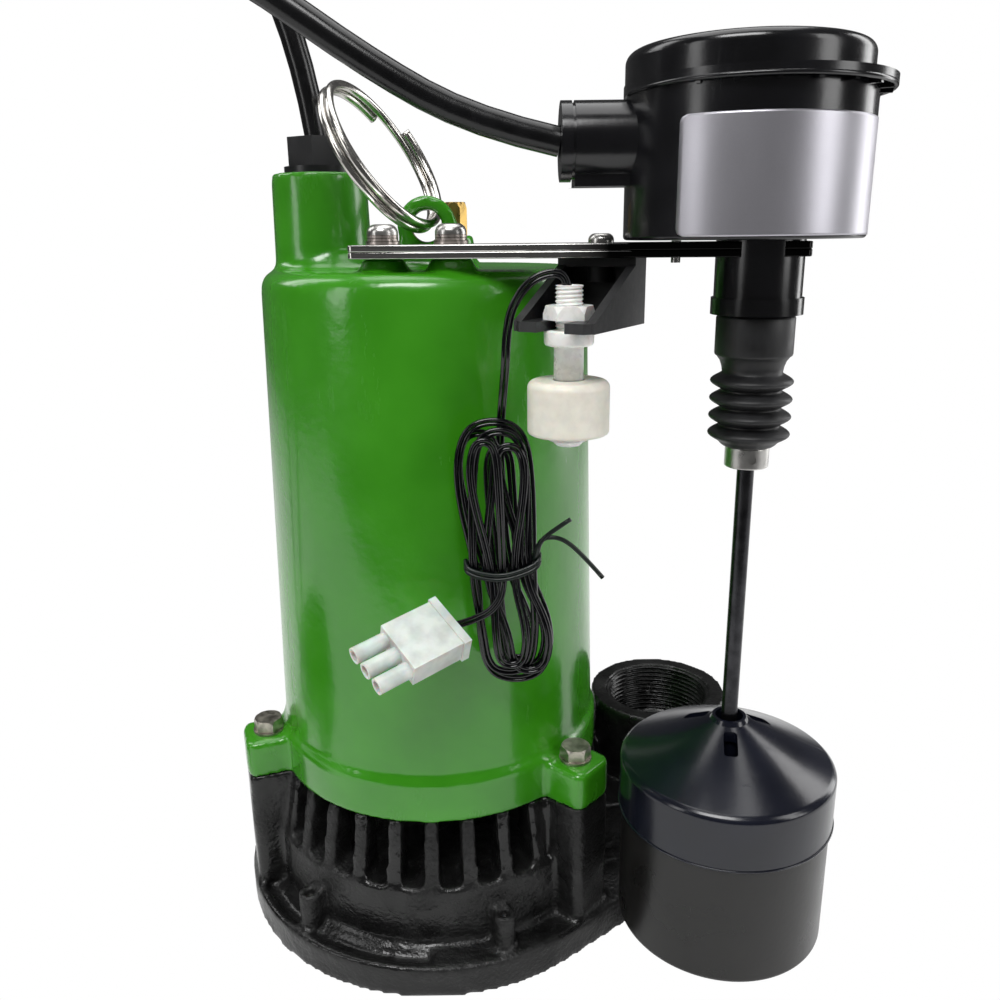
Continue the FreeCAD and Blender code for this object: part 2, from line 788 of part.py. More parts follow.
def wound(nodes, ways):
    """The edges of a winding through nodes, with its heading at each."""
    edges = []
    for i in range(len(nodes) - 1):
        edges += arc_between(nodes[i], ways[i], nodes[i + 1], ways[i + 1])
    return edges


def round_tube(edges, diameter):
    """A round solid along a smooth chain of edges."""
    wire = Part.Wire(edges)
    first = wire.OrderedEdges[0] if hasattr(wire, "OrderedEdges") else edges[0]
    start = first.valueAt(first.FirstParameter)
    way = first.tangentAt(first.FirstParameter)
    section = Part.Wire([Part.Circle(start, way, diameter / 2).toShape()])
    shell = Part.BRepOffsetAPI.MakePipeShell(wire)
    shell.add(section)
    shell.build()
    shell.makeSolid()
    return shell.shape()


def route_edges(points, diameter, label):
    """Straight runs joined by arcs as large as the two runs allow."""
    spots = list(points)
    edges = []
    start = spots[0]
    radii = []
    for i in range(1, len(spots) - 1):
        back = spots[i - 1] - spots[i]
        ahead = spots[i + 1] - spots[i]
        shorter = min(back.Length, ahead.Length)
        turn = math.pi - back.getAngle(ahead)
        radius = 0.45 * shorter / math.tan(turn / 2)
        radii.append(radius)
        enter = spots[i] + Vector(back).normalize() * 0.45 * shorter
        leave = spots[i] + Vector(ahead).normalize() * 0.45 * shorter
        edges.append(Part.LineSegment(start, enter).toShape())
        edges += arc_from(enter, Vector(back).normalize() * -1, leave)
        start = leave
    edges.append(Part.LineSegment(start, spots[-1]).toShape())
    length = sum(e.Length for e in edges)
    least = min(radii)
    print(f"{label}: length {length:.1f}, least radius {least:.1f} = {least / diameter:.1f} diameters")
    return edges


def cord_piece(edges, diameter, label):
    tube = round_tube(edges, diameter)
    length = sum(e.Length for e in edges)
    share = tube.Volume / (math.pi * diameter * diameter / 4 * length)
    print(f"{label}: tube volume over section times length {share:.4f}, length {length:.1f}")
    holder = doc.addObject("Part::Feature", label)
    holder.Shape = tube
    piece(holder, label)
    return holder


def least_gap(edges, diameter, label):
    """Prints how near the tube comes to itself, measured on points of its line."""
    points = []
    run = 0.0
    for edge in edges:
        steps = max(2, int(edge.Length / (diameter / 2)))
        for i in range(steps):
            share = i / steps
            at = edge.valueAt(edge.FirstParameter + (edge.LastParameter - edge.FirstParameter) * share)
            points.append((run + edge.Length * share, at))
        run += edge.Length
    least = (1e9, None, None)
    for i, (here, a) in enumerate(points):
        for there, b in points[i + 1:]:
            if there - here > 4 * diameter and a.distanceToPoint(b) < least[0]:
                least = (a.distanceToPoint(b), a, b)
    near = " and ".join(f"({spot.x:.1f}, {spot.y:.1f}, {spot.z:.1f})" for spot in least[1:])
    print(f"{label}: least gap to itself {least[0] - diameter:.2f} between {near}")


def spring_and_impeller():
    wire = size("spring_wire")
    low = size("hub_top") + wire / 2 + 0.1
    high = size("seat_face - 0.05 - seal_thick") - wire / 2 - 0.1
    around = size("spring_round")
    quarters = 16
    nodes = []
    ways = []
    for i in range(quarters + 1):
        angle = math.radians(90 * i)
        rise = (high - low) / quarters
        nodes.append(Vector(around * math.cos(angle), around * math.sin(angle), low + rise * i))
        ways.append(Vector(-around * math.sin(angle), around * math.cos(angle), rise * 2 / math.pi).normalize())
    spring = doc.addObject("Part::Feature", "spring")
    spring.Shape = round_tube(wound(nodes, ways), wire)
    piece(spring, "seal_spring")
    hub = cylinder("hub", "impeller_low", "hub_top")
    disc = cylinder("impeller_radius", "impeller_low", "impeller_low + impeller_disc")
    solids = [hub, disc]
    for i in range(int(size("vane_count"))):
        outline = [
            ("eye - 6", "-1.5"), ("impeller_radius - 8", "-13"), ("impeller_radius - 6", "-10"),
            ("eye - 6", "1.5"),
        ]
        solids.append(plate(outline, "impeller_low + 1", "impeller_top", turn=f"{i} * 360 / vane_count"))
    piece(cut(fuse(*solids), cylinder("shaft + fit", "0", "hub_top + 1")), "impeller")
    nut = hexagon("3 * shaft", "shaft_low + 0.6", "impeller_low")
    piece(cut(nut, cylinder("shaft + fit", "0", "impeller_low + 1")), "impeller_nut")


def strap():
    half = "strap_wide / 2"
    for low, label in (("strap_low", "strap_lower"), ("strap_low + strap_layer", "strap_upper")):
        high = f"{low} + strap_layer"
        strip = plate(
            [("strap_left", f"-{half}"), ("strap_right", f"-{half}"), ("strap_right", half),
             ("strap_left", half)],
            low, high, "switch_x", "switch_y", "strap_tilt",
        )

        def corner(line, middle):
            return abs(line.Vertexes[0].Z - line.Vertexes[-1].Z) > 1

        def rim(line, middle):
            return not corner(line, middle)

        strip = blend(blend(strip, "2", corner), "0.45", rim)
        cuts = [cylinder("neck_hole", f"{low} - 1", f"{high} + 1", "switch_x", "switch_y")]
        for far in STRAP_SCREWS:
            cuts.append(cylinder("strap_hole", f"{low} - 1", f"{high} + 1", *along_strap(far)))
        cuts.append(cylinder("pan_shank + 0.2", f"{low} - 1", f"{high} + 1", *along_strap("bracket_hole")))
        for side in ("clamp_side", "-clamp_side"):
            spot = along_strap("clamp_hole", side)
            cuts.append(cylinder("clamp_screw + 0.1", f"{low} - 1", f"{high} + 1", *spot))
        piece(cut(strip, *cuts), label)


def strap_fasteners():
    screws = []
    washers = []
    for far in STRAP_SCREWS:
        x, y = along_strap(far)
        lock_low = f"{strap_top} + flat_washer"
        seat = f"{lock_low} + lock_washer"
        head = turned(
            [("0", seat), ("screw_head", seat), ("screw_head", f"{seat} + screw_head_high"),
             ("0", f"{seat} + screw_head_high")],
            x, y, rounds=[("3", [("screw_head", f"{seat} + screw_head_high")])],
        )
        socket = hexagon("5", f"{seat} + screw_head_high - 2", f"{seat} + screw_head_high + 1", x, y)
        shank = cylinder("bolt_shank", "strap_low - 14", seat, x, y)
        screws.append(fuse(cut(head, socket), shank))
        hole = "bolt_shank + 0.2"
        for radius, low, high in (("screw_head + 0.5", strap_top, lock_low), ("screw_head", lock_low, seat)):
            way = cylinder(hole, f"{low} - 1", f"{high} + 1", x, y)
            washers.append(cut(cylinder(radius, low, high, x, y), way))
    piece(group(*screws), "strap_screws")
    piece(group(*washers), "strap_washers")
    x, y = along_strap("bracket_hole")
    head = turned(
        [("0", strap_top), ("pan_head", strap_top), ("pan_head", f"{strap_top} + pan_high"),
         ("0", f"{strap_top} + pan_high")],
        x, y, rounds=[("2.2", [("pan_head", f"{strap_top} + pan_high")])],
    )
    shank = cylinder("pan_shank", "strap_low - flange_thick - 4", strap_top, x, y)
    piece(fuse(head, shank), "bracket_screw")
    clamps = []
    for side in ("clamp_side", "-clamp_side"):
        x, y = along_strap("clamp_hole", side)
        clamps.append(cylinder("clamp_screw", "strap_low - 1.8", "case_low + case_floor - 0.1", x, y))
    piece(group(*clamps), "switch_clamp_screws")


def alarm_bracket():
    """Local frame: x across, y towards the back, the shelf stands out along minus y."""
    half = "bracket_wide / 2"
    wall = "bracket_wall"
    spot = ("bracket_x", "bracket_y", "bracket_turn")
    flange = plate(
        [(f"-{half}", f"-{wall}"), (half, f"-{wall}"), (half, "bracket_back"), (f"-{half}", "bracket_back")],
        "strap_low - flange_thick", "strap_low", *spot,
    )
    back = plate(
        [(f"-{half}", f"bracket_back - {wall}"), (half, f"bracket_back - {wall}"), (half, "bracket_back"),
         (f"-{half}", "bracket_back")],
        "shelf_low", "strap_low", *spot,
    )
    nose = "3"
    shelf = plate(
        [(f"-{half}", "bracket_back - 1"), (f"-{half}", f"-bracket_deep + {nose}"),
         (f"-{half} + {nose}", "-bracket_deep"), (f"{half} - {nose}", "-bracket_deep"),
         (half, f"-bracket_deep + {nose}"), (half, "bracket_back - 1")],
        "shelf_low", "shelf_low + shelf_thick", *spot,
    )
    gussets = []
    for side in (f"-{half}", f"{half} - {wall}"):
        web = doc.addObject("PartDesign::Body", "gusset")
        outline = [
            ("bracket_back - 1", "shelf_low"), ("bracket_back - 1", "strap_low - 0.4"),
            ("bracket_back - bracket_wall - 2", "strap_low - 0.4"),
            ("-bracket_deep + 2", "shelf_low + shelf_thick"), ("-bracket_deep + 2", "shelf_low"),
        ]
        sketch = sketch_outline(web, outline, "YZ_Plane", offset=side)
        pad = web.newObject("PartDesign::Pad", "pad")
        pad.Profile = sketch
        pad.setExpression("Length", spell(wall))
        place(web, spot[0], spot[1], turn=spot[2])
        gussets.append(web)
    slot = "thread_radius + 0.3"
    way = plate(
        [(f"-({slot})", "-bracket_deep - 5"), (slot, "-bracket_deep - 5"), (slot, "-stem_out"),
         (f"-({slot})", "-stem_out")],
        "shelf_low - 1", "shelf_low + shelf_thick + 1", *spot,
    )
    end = cylinder(slot, "shelf_low - 1", "shelf_low + shelf_thick + 1", *alarm_axis())
    under = "strap_low - flange_thick"
    boss = cylinder("2 * pan_shank", f"{under} - 5", "strap_low", *along_strap("bracket_hole"))
    screw_way = cylinder("pan_shank + running", f"{under} - 4.2", "strap_low + 1", *along_strap("bracket_hole"))
    piece(cut(fuse(flange, back, shelf, boss, *gussets), way, end, screw_way), "alarm_bracket")


def alarm_axis():
    x = "bracket_x + stem_out * sin(bracket_turn)"
    y = "bracket_y - stem_out * cos(bracket_turn)"
    return x, y


def alarm_switch():
    x, y = alarm_axis()
    collar_top = "shelf_low - 0.05"
    stem = turned([
        ("0", "stem_low"), ("stem_radius - 0.8", "stem_low"), ("stem_radius", "stem_low + 0.8"),
        ("stem_radius", f"{collar_top} - collar_high"), ("collar_radius - 1", f"{collar_top} - collar_high"),
        ("collar_radius", f"{collar_top} - collar_high + 1"), ("collar_radius", collar_top),
        ("thread_radius", collar_top), ("thread_radius", "thread_top"), ("reed_radius + 0.6", "thread_top"),
        ("reed_radius + 0.6", "thread_top - 6"), ("reed_radius + 0.05", "thread_top - 6"),
        ("reed_radius + 0.05", "stem_low + 8"), ("0", "stem_low + 8"),
    ], x, y)
    piece(stem, "alarm_stem")
    piece(cylinder("reed_radius", "stem_low + 8.1", "stem_low + 24", x, y), "reed_switch")
    nut_low = "shelf_low + shelf_thick + 0.05"
    nut = hexagon("nut_across", nut_low, f"{nut_low} + nut_high", x, y)
    bevel = cone("nut_across * 0.62", "nut_across * 0.52", nut_low, f"{nut_low} + nut_high", x, y)
    shaped = doc.addObject("Part::Common", "nut")
    shaped.Base = nut
    shaped.Tool = bevel
    bore = cylinder("thread_radius + running", f"{nut_low} - 1", f"{nut_low} + nut_high + 1", x, y)
    piece(cut(shaped, bore), "alarm_nut")
    clip_low = "buoy_low - 0.3 - clip_thick"
    groove = turned([
        ("stem_radius + running", clip_low), ("clip_radius", clip_low),
        ("clip_radius", f"{clip_low} + clip_thick"), ("stem_radius + running", f"{clip_low} + clip_thick"),
    ], x, y)
    piece(groove, "alarm_clip")
    top = "buoy_low + buoy_high"
    inner = "magnet_inner - 0.1"
    outer = "magnet_outer + 0.1"
    buoy = turned([
        ("buoy_bore", "buoy_low"), (inner, "buoy_low"), (inner, "buoy_low + magnet_high + 0.2"),
        (outer, "buoy_low + magnet_high + 0.2"), (outer, "buoy_low"), ("buoy_radius", "buoy_low"),
        ("buoy_radius", top), ("buoy_bore", top),
    ], x, y, rounds=[("buoy_round", [("buoy_radius", "buoy_low + buoy_high")]),
                     ("buoy_round / 2", [("buoy_radius", "buoy_low")])])
    piece(buoy, "alarm_float")
    magnet = turned([
        ("magnet_inner", "buoy_low + 0.1"), ("magnet_outer", "buoy_low + 0.1"),
        ("magnet_outer", "buoy_low + magnet_high"), ("magnet_inner", "buoy_low + magnet_high"),
    ], x, y)
    piece(magnet, "float_magnet")


def switch_outlet():
    """The boss that the switch cord leaves through, its web, the groove behind its ring, and the cord's way."""
    side = {"y": "switch_y", "z": outlet_z}
    long = "case_x - case_radius - outlet_end"
    boss = crossbar("outlet_radius", "outlet_end", f"{long} + 6", "x", **side)
    web = box(
        "outlet_end + outlet_ring", "switch_y - outlet_radius * 0.55", f"{outlet_z} - outlet_radius - 1.5",
        f"{long} + 4", "outlet_radius * 1.1", "outlet_radius",
    )
    groove = crossbar("outlet_radius + 3", "outlet_end + outlet_ring", "0.9", "x", **side)
    core = crossbar("outlet_radius - 0.8", "outlet_end + outlet_ring - 1", "3", "x", **side)
    way = crossbar("cord_wide / 2 + 0.6", "outlet_end - 1", f"{long} + 20", "x", **side)
    seal = crossbar("cord_wide / 2 + 0.55", "outlet_end + 1.4", "14", "x", **side)
    piece(seal, "outlet_grommet")
    return [boss, web], [cut(groove, core), way]


def switch_case():
    inner = "case_radius - case_wall"
    floor_top = "case_low + case_floor"
    shell = turned([
        ("0", "case_low"), ("case_radius", "case_low"), ("case_radius", case_top), (inner, case_top),
        (inner, floor_top), ("0", floor_top),
    ], "case_x", "switch_y", rounds=[("1.2", [("case_radius", "case_low")])])
    lip = cylinder("lip_radius", f"{case_top} - lip_thick", case_top, "lip_x", "switch_y")
    hollow = cylinder(inner, floor_top, f"{case_top} + 1", "case_x", "switch_y")
    stem_way = cylinder("push_head + 0.5", "case_low - 1", f"{floor_top} + 1", "switch_x", "switch_y")
    added, cuts = switch_outlet()
    for side in ("clamp_side", "-clamp_side"):
        spot = along_strap("clamp_hole", side)
        cuts.append(cylinder("clamp_screw + running", "case_low - 1", f"{floor_top} + 1", *spot))
    piece(cut(fuse(shell, lip, *added), hollow, stem_way, *cuts), "switch_case")
    wall = "cap_radius - 2.4"
    top = f"{case_top} + cap_high"
    cap = turned([
        ("0", top), ("0", f"{top} - 2.4"), (wall, f"{top} - 2.4"), (wall, case_top), ("cap_radius", case_top),
        ("cap_radius", top),
    ], "cap_x", "switch_y", rounds=[("cap_round", [("cap_radius", top)])])
    ridge = turned([
        ("cap_radius - 8.5", f"{top} - 1"), ("cap_radius - 6.5", f"{top} - 1"),
        ("cap_radius - 6.5", f"{top} + 0.6"), ("cap_radius - 8.5", f"{top} + 0.6"),
    ], "cap_x", "switch_y")
    piece(fuse(cap, ridge), "switch_cap")


def switch_tube():
    spot = ("switch_x", "switch_y")
    tube = turned([
        ("tube_bore", "nipple_low"), ("nipple_radius", "nipple_low"), ("nipple_radius", "lock_low"),
        ("tube_radius", "lock_low"), ("tube_radius", "case_low"), ("tube_bore", "case_low"),
    ], *spot)
    reach = "tube_radius + 2"
    half = "strap_wide / 2 + 0.1"
    slot = plate(
        [(f"-({reach})", f"-({half})"), (reach, f"-({half})"), (reach, half), (f"-({reach})", half)],
        "strap_low - 0.05", f"{strap_top} + 0.05", "switch_x", "switch_y", "strap_tilt",
    )
    neck = cylinder("neck_hole - 0.1", "strap_low - 1", f"{strap_top} + 1", *spot)
    piece(cut(tube, cut(slot, neck)), "switch_tube")
    ring = turned([
        ("tube_radius + running", "lock_low"), ("lock_radius", "lock_low"),
        ("lock_radius", "lock_low + lock_high"), ("tube_radius + running", "lock_low + lock_high"),
    ], *spot)
    piece(ring, "lock_ring")
    rise = "bellows_high / bellows_count"
    outer = [
        ("cuff_radius", "lock_low - 0.2"), ("cuff_radius", "cuff_low + 1"), ("cuff_radius - 1", "cuff_low"),
    ]
    inner = []
    for i in range(int(size("bellows_count"))):
        base = f"bellows_low + bellows_high - {rise} * {i}"
        for radius, share in (("valley_radius", 0.0), ("rib_radius", 0.32), ("rib_radius", 0.68)):
            outer.append((radius, f"{base} - {rise} * {share}"))
            inner.append((f"{radius} - boot_wall", f"{base} - {rise} * {share}"))
    low = "bellows_low"
    grip = "push_rod + running"
    lip = "stem_collar_low + stem_collar_high + 0.1"
    outer += [("valley_radius", low), ("valley_radius - 1.2", lip), (grip, lip), (grip, low)]
    inner.append(("valley_radius - boot_wall", low))
    inner_top = [("nipple_radius + running", "nipple_low - 0.3"), ("nipple_radius + running", "lock_low - 0.2")]
    piece(turned(outer + inner[::-1] + inner_top, *spot), "boot")


def push_rod():
    spot = ("switch_x", "switch_y")
    rod = cylinder("push_rod", "push_rod_low", "push_rod_high", *spot)
    head = cylinder("push_head", "push_rod_high", "push_rod_high + push_head_high", *spot)
    piece(fuse(rod, head), "push_rod")
    top = "stem_collar_low + stem_collar_high"
    collar = turned([
        ("push_rod + fit", "stem_collar_low"), ("stem_collar", "stem_collar_low"), ("stem_collar", top),
        ("push_rod + fit", top),
    ], *spot, rounds=[("0.5", [("stem_collar", "stem_collar_low"), ("stem_collar", top)])])
    across = {"axis": "y", "x": "switch_x", "z": "stem_collar_low + stem_collar_high / 2"}
    hole = crossbar("set_screw", "switch_y - stem_collar - 1", "stem_collar - push_rod + 1", **across)
    collar = cut(collar, hole)
    screw = crossbar("set_screw", "switch_y - stem_collar + 0.6", "stem_collar - push_rod - 0.8", **across)
    piece(group(collar, screw), "rod_collar")
    stop_top = "float_low - 0.3"
    disc = cylinder("stop_radius", f"{stop_top} - stop_thick", stop_top, *spot)
    disc = cut(disc, cylinder("push_rod + fit", "0", "float_low + 1", *spot))
    nut_top = f"{stop_top} - stop_thick"
    nut = hexagon("stop_nut", f"{nut_top} - stop_nut_high", nut_top, *spot)
    piece(group(disc, cut(nut, cylinder("push_rod + fit", "0", "float_low", *spot))), "rod_stop")


def main_float():
    spot = ("switch_x", "switch_y")
    inner = "float_radius - float_wall"
    cap = turned([
        ("float_eye", "float_low"), ("guide", "float_low"), ("guide", "apex - 6"),
        (f"{inner} - 4", "cone_edge + 2"), (inner, "cone_edge - 2"), (inner, "seam"), ("float_radius", "seam"),
        ("float_radius", "cone_edge"), ("float_radius - 1.6", "cone_low"), ("apex_radius + 0.8", "apex - 1.6"),
        ("apex_radius", "apex"), ("float_eye", "apex"),
    ], *spot, rounds=[("2.4", [("float_radius", "cone_edge")]), ("3", [("float_radius - 1.6", "cone_low")])])
    windows = []
    for angle in ("-100", "20", "140"):
        window = plate([("guide + 1.3", "-2.5"), ("18", "-2.5"), ("18", "2.5"), ("guide + 1.3", "2.5")],
                       "apex - 12.5", "apex - 1.7", *spot, angle)
        windows.append(blend(window, "1.2", lambda line, middle: abs(line.Vertexes[0].Z - line.Vertexes[-1].Z) > 1))
    piece(cut(cap, *windows), "float_cap")
    wall = "cup_radius - float_wall"
    hub = "guide + 2"
    cup = turned([
        ("guide + running", "float_low"), ("cup_radius", "float_low"), ("cup_radius", "seam - 0.1"),
        (f"{inner} - 0.1", "seam - 0.1"), (f"{inner} - 0.1", "seam + 5"), (f"{wall} - 1", "seam + 5"),
        (f"{wall} - 1", "float_low + float_wall"), (hub, "float_low + float_wall"), (hub, "float_low + 12"),
        ("guide + running", "float_low + 12"),
    ], *spot, rounds=[("2.2", [("cup_radius", "float_low")])])
    piece(cup, "float_cup")


def snap_switch():
    """Box, lever hinge and contacts stand on a post beside the push rod."""
    left = "switch_x - lever_reach"
    pivot_z = "push_rod_high + push_head_high + 1.2"
    near = "switch_y - snap_wide / 2"
    floor_top = "case_low + case_floor"
    block = box(f"{left} - snap_long / 2", near, "snap_low", "snap_long", "snap_wide", "snap_high")
    post = box(f"{left} - 9", near, floor_top, "5", "snap_wide", f"snap_low + 1 - {floor_top}")
    ear = box(f"{left} - 5", near, f"{pivot_z} - 3", "8", "2", "14")
    ear_back = box(f"{left} - 5", "switch_y + snap_wide / 2 - 2", f"{pivot_z} - 3", "8", "2", "14")
    hole = crossbar("1.05", "switch_y - snap_wide", "2 * snap_wide", "y", x=left, z=pivot_z)
    piece(cut(fuse(block, post, ear, ear_back), hole), "snap_switch")
    middle = "switch_y - lever_wide / 2"
    knuckle = crossbar("2", middle, "lever_wide", "y", x=left, z=pivot_z)
    pin = crossbar("1", f"{near} + 0.1", "snap_wide - 0.2", "y", x=left, z=pivot_z)
    blade = box(left, middle, f"{pivot_z} - lever_thick / 2", "lever_reach + 2", "lever_wide", "lever_thick")
    piece(fuse(knuckle, pin, blade), "switch_lever")


def lift_ring():
    """A split ring of two turns of wire, threaded through the eye of the lug."""
    around = size("ring_round")
    wire = size("ring_wire")
    pitch = size("ring_pitch")
    lean = math.radians(size("ring_lean"))
    turn = math.radians(size("ring_turn"))
    eye = Vector(size("lug_x"), size("lug_y"), size("lug_eye_z"))
    out = Vector(-math.sin(lean), 0, math.cos(lean))
    across = Vector(math.cos(lean), 0, math.sin(lean))
    side = Vector(0, math.cos(turn), 0) + across * math.sin(turn)
    normal = out.cross(side)
    centre = eye + out * around
    start = 0.43 * math.pi
    sweep = 3.88 * math.pi
    quarters = 10
    nodes = []
    ways = []
    for i in range(quarters + 1):
        share = i / quarters
        angle = start + sweep * share
        step = pitch / (2 * math.pi)
        shift = step * sweep * (share - 0.5)
        spoke = out * math.cos(angle) + side * math.sin(angle)
        nodes.append(centre + spoke * around + normal * shift)
        along = (side * math.cos(angle) - out * math.sin(angle)) * around + normal * step
        ways.append(along.normalize())
    edges = wound(nodes, ways)
    least_gap(edges, wire, "lift_ring")
    cord_piece(edges, wire, "lift_ring")


def coil_path(quarters, bottom, diameter):
    """Nodes and headings of a coil that winds in on its upper layer, drops, and winds out on its lower one."""
    outer = size("coil_outer")
    step = size("coil_step")
    centre = Vector(size("coil_x"), size("coil_y"), 0)
    upper = bottom + diameter * 1.5 + 0.45
    lower = bottom + diameter / 2
    spots = []
    for i in range(quarters + 1):
        inward = min(i, quarters - i) / 4
        fall = min(max((i - quarters / 2 + 1) / 2, 0), 1)
        height = upper + (lower - upper) * fall * fall * (3 - 2 * fall)
        spots.append((math.radians(90 + 90 * i), outer - step * inward, height))
    nodes = [centre + Vector(r * math.cos(a), r * math.sin(a), z) for a, r, z in spots]
    ways = []
    for i, (angle, radius, height) in enumerate(spots):
        before = spots[max(i - 1, 0)]
        after = spots[min(i + 1, quarters)]
        turn = after[0] - before[0]
        drift = (after[1] - before[1]) / turn
        if i in (0, quarters):
            drift = 0
        climb = (after[2] - before[2]) / turn
        spoke = Vector(math.cos(angle), math.sin(angle), 0)
        swing = Vector(-math.sin(angle), math.cos(angle), 0)
        ways.append((swing * radius + spoke * drift + Vector(0, 0, climb)).normalize())
    return nodes, ways


def plug_shape(spot, heading, back):
    """A moulded plug with its cord end at spot and its blades along the heading."""
    body = Part.makeBox(24, 24, 17, Vector(11, -12, -8.5))
    body = body.makeFillet(3.5, [e for e in body.Edges if abs(e.tangentAt(e.FirstParameter).x) > 0.9])
    solid = body.fuse(Part.makeCone(size("cord_wide") / 2 + 0.8, 8.2, 12, Vector(), Vector(1, 0, 0)))
    for side in (-6.35, 6.35):
        solid = solid.fuse(Part.makeBox(17, 1.6, 6.4, Vector(34, side - 0.8, -1)))
        if back:
            solid = solid.cut(Part.makeBox(7, 2, 8, Vector(14, side - 1, 3)))
    solid = solid.fuse(Part.makeCylinder(2.4, 19, Vector(34, 0, -5), Vector(1, 0, 0)))
    turn = Rotation(Vector(0, 0, 1), math.degrees(math.atan2(heading.y, heading.x)))
    solid.Placement = Placement(spot, turn)
    return solid.removeSplitter()


# Stretches from the outlets to the coils, given from the outlet of each cord.
PUMP_STRETCH = [
    (0.0, 0.0, 0.0), (-1.7, 0.0, 27.0), (-15.0, 2.0, 66.0), (-50.0, 4.0, 96.0), (-104.0, 6.0, 100.0),
    (-158.0, 10.0, 73.0), (-188.0, 16.0, 16.0), (-190.7, 24.0, -62.0), (-190.7, 32.0, -134.0),
    (-190.7, 38.0, -204.0), (-190.7, 38.0, -275.2), (-221.7, 24.0, -309.2),
]
SWITCH_STRETCH = [
    (0.0, 0.0, 0.0), (-27.0, 0.0, 7.0), (-59.0, 0.0, 26.0), (-99.0, 2.0, 52.0), (-147.0, 8.0, 75.0),
    (-199.0, 18.0, 75.0), (-244.0, 28.0, 40.0), (-270.0, 40.0, -26.0), (-280.0, 54.0, -96.0),
    (-280.0, 64.0, -150.0), (-280.0, 72.0, -198.0), (-280.0, 78.8, -246.0), (-311.0, 92.8, -281.0),
]
# Ends from the coils to the plugs, given from the end of each coil.
PUMP_END = [(0.0, 66.0, 0.0), (-33.0, 99.0, 4.0), (-79.0, 99.0, 4.0)]
SWITCH_END = [(23.0, 0.0, 0.0), (64.0, 0.0, -15.4), (79.0, 20.0, -15.4)]


def mains_cord(name, outlet, stretch, quarters, bottom, end, plug, back):
    """The stretch from the outlet, the coil with its end, and the plug."""
    diameter = size("cord_wide")
    nodes, ways = coil_path(quarters, bottom, diameter)
    points = [outlet + Vector(*step) for step in stretch] + [nodes[0]]
    cord_piece(route_edges(points, diameter, name), diameter, name)
    turns = wound(nodes, ways)
    least_gap(turns, diameter, f"{name}_coil")
    last = [nodes[-1]] + [nodes[-1] + Vector(*step) for step in end]
    cord_piece(turns + route_edges(last, diameter, f"{name}_coil"), diameter, f"{name}_coil")
    holder = doc.addObject("Part::Feature", plug)
    holder.Shape = plug_shape(last[-1], last[-1] - last[-2], back)
    piece(holder, plug)


def mains_cords():
    lift = size("coil_lift")
    nut_top = size("neck_top + gland_flange_thick + gland_nut_high")
    outlet = Vector(size("neck_x"), 0, nut_top)
    turns = int(size("pump_quarters"))
    mains_cord("pump_cord", outlet, PUMP_STRETCH, turns, lift, PUMP_END, "pump_plug", False)
    outlet = Vector(size("outlet_end"), size("switch_y"), size(outlet_z))
    bottom = lift + 2 * size("cord_wide") + 1
    turns = int(size("switch_quarters"))
    mains_cord("switch_cord", outlet, SWITCH_STRETCH, turns, bottom, SWITCH_END, "piggyback_plug", True)


def hank_loop(nest, y, reach=0.0):
    """One loop from the right side of the waist, down, round and back to the right of the upper end."""
    inset = size("lead_nest") * nest
    down = Vector(0, 0, -1)
    up = Vector(0, 0, 1)
    waist = size("waist_half") - inset
    upper = size("upper_half") - inset
    lower = size("lower_half") - inset
    return [
        (Vector(size("waist_x") + waist, y, size("waist_z")), down),
        (Vector(size("lower_x") + lower, y, size("lower_z")), down),
        (Vector(size("lower_x"), y, size("lower_end") + inset), Vector(-1, 0, 0)),
        (Vector(size("lower_x") - lower, y, size("lower_z")), up),
        (Vector(size("waist_x") - waist, y, size("waist_z")), up),
        (Vector(size("upper_x") - upper, y, size("upper_z")), up),
        (Vector(size("upper_x"), y, size("upper_end") - inset), Vector(1, 0, 0)),
        (Vector(size("upper_x") + upper + reach, y - reach * 0.56, size("upper_z")), down),
    ]


LEAD_END = (12.0, -80.5, 154.7)


def alarm_lead():
    """Out of the stem, down behind the hank, two layers of three loops, and out at the waist."""
    wide = size("lead_wide")
    x, y = (size(part) for part in alarm_axis())
    top = size("thread_top") + 1
    back = size("layer_back")
    front = back - size("layer_step")
    shelf = size("shelf_low")
    across = size("waist_x")
    hank_top = size("upper_end")
    behind = back + 3.5
    points = [
        (x, y, top - 11), (x, y, top), (x - 6.2, y, top + 6.2), (x - 14.8, y, top + 6.2), (x - 21, y, top),
        (across + 1.6, y + 0.4, shelf + 0.5), (across + 1.6, y + 1, shelf - 11.5),
        (across + 0.6, behind, hank_top + 8.5), (across - 0.4, behind, hank_top - 3.5),
        (across - 0.4, behind, hank_top - 17.5),
    ]
    start = route_edges([Vector(*spot) for spot in points], wide, "alarm_lead")
    loops = [(Vector(*points[-1]), Vector(0, 0, -1))]
    for nest in (2, 1, 0):
        loops += hank_loop(nest, back, reach=3.2 if nest == 0 else 0.0)
    for nest in (0, 1, 2):
        loops += hank_loop(nest, front)
    loops += [
        (Vector(size("waist_x"), front, size("waist_z")), Vector(0, 0, -1)),
        (Vector(size("waist_x") - 1.2, front - 4, size("waist_z") - 8), Vector(-0.4, -0.1, -0.9).normalize()),
        (Vector(*LEAD_END), Vector(-0.93, 0.1, -0.35).normalize()),
    ]
    edges = start + wound([spot for spot, way in loops], [way for spot, way in loops])
    least_gap(edges, wide, "alarm_lead")
    cord_piece(edges, wide, "alarm_lead")


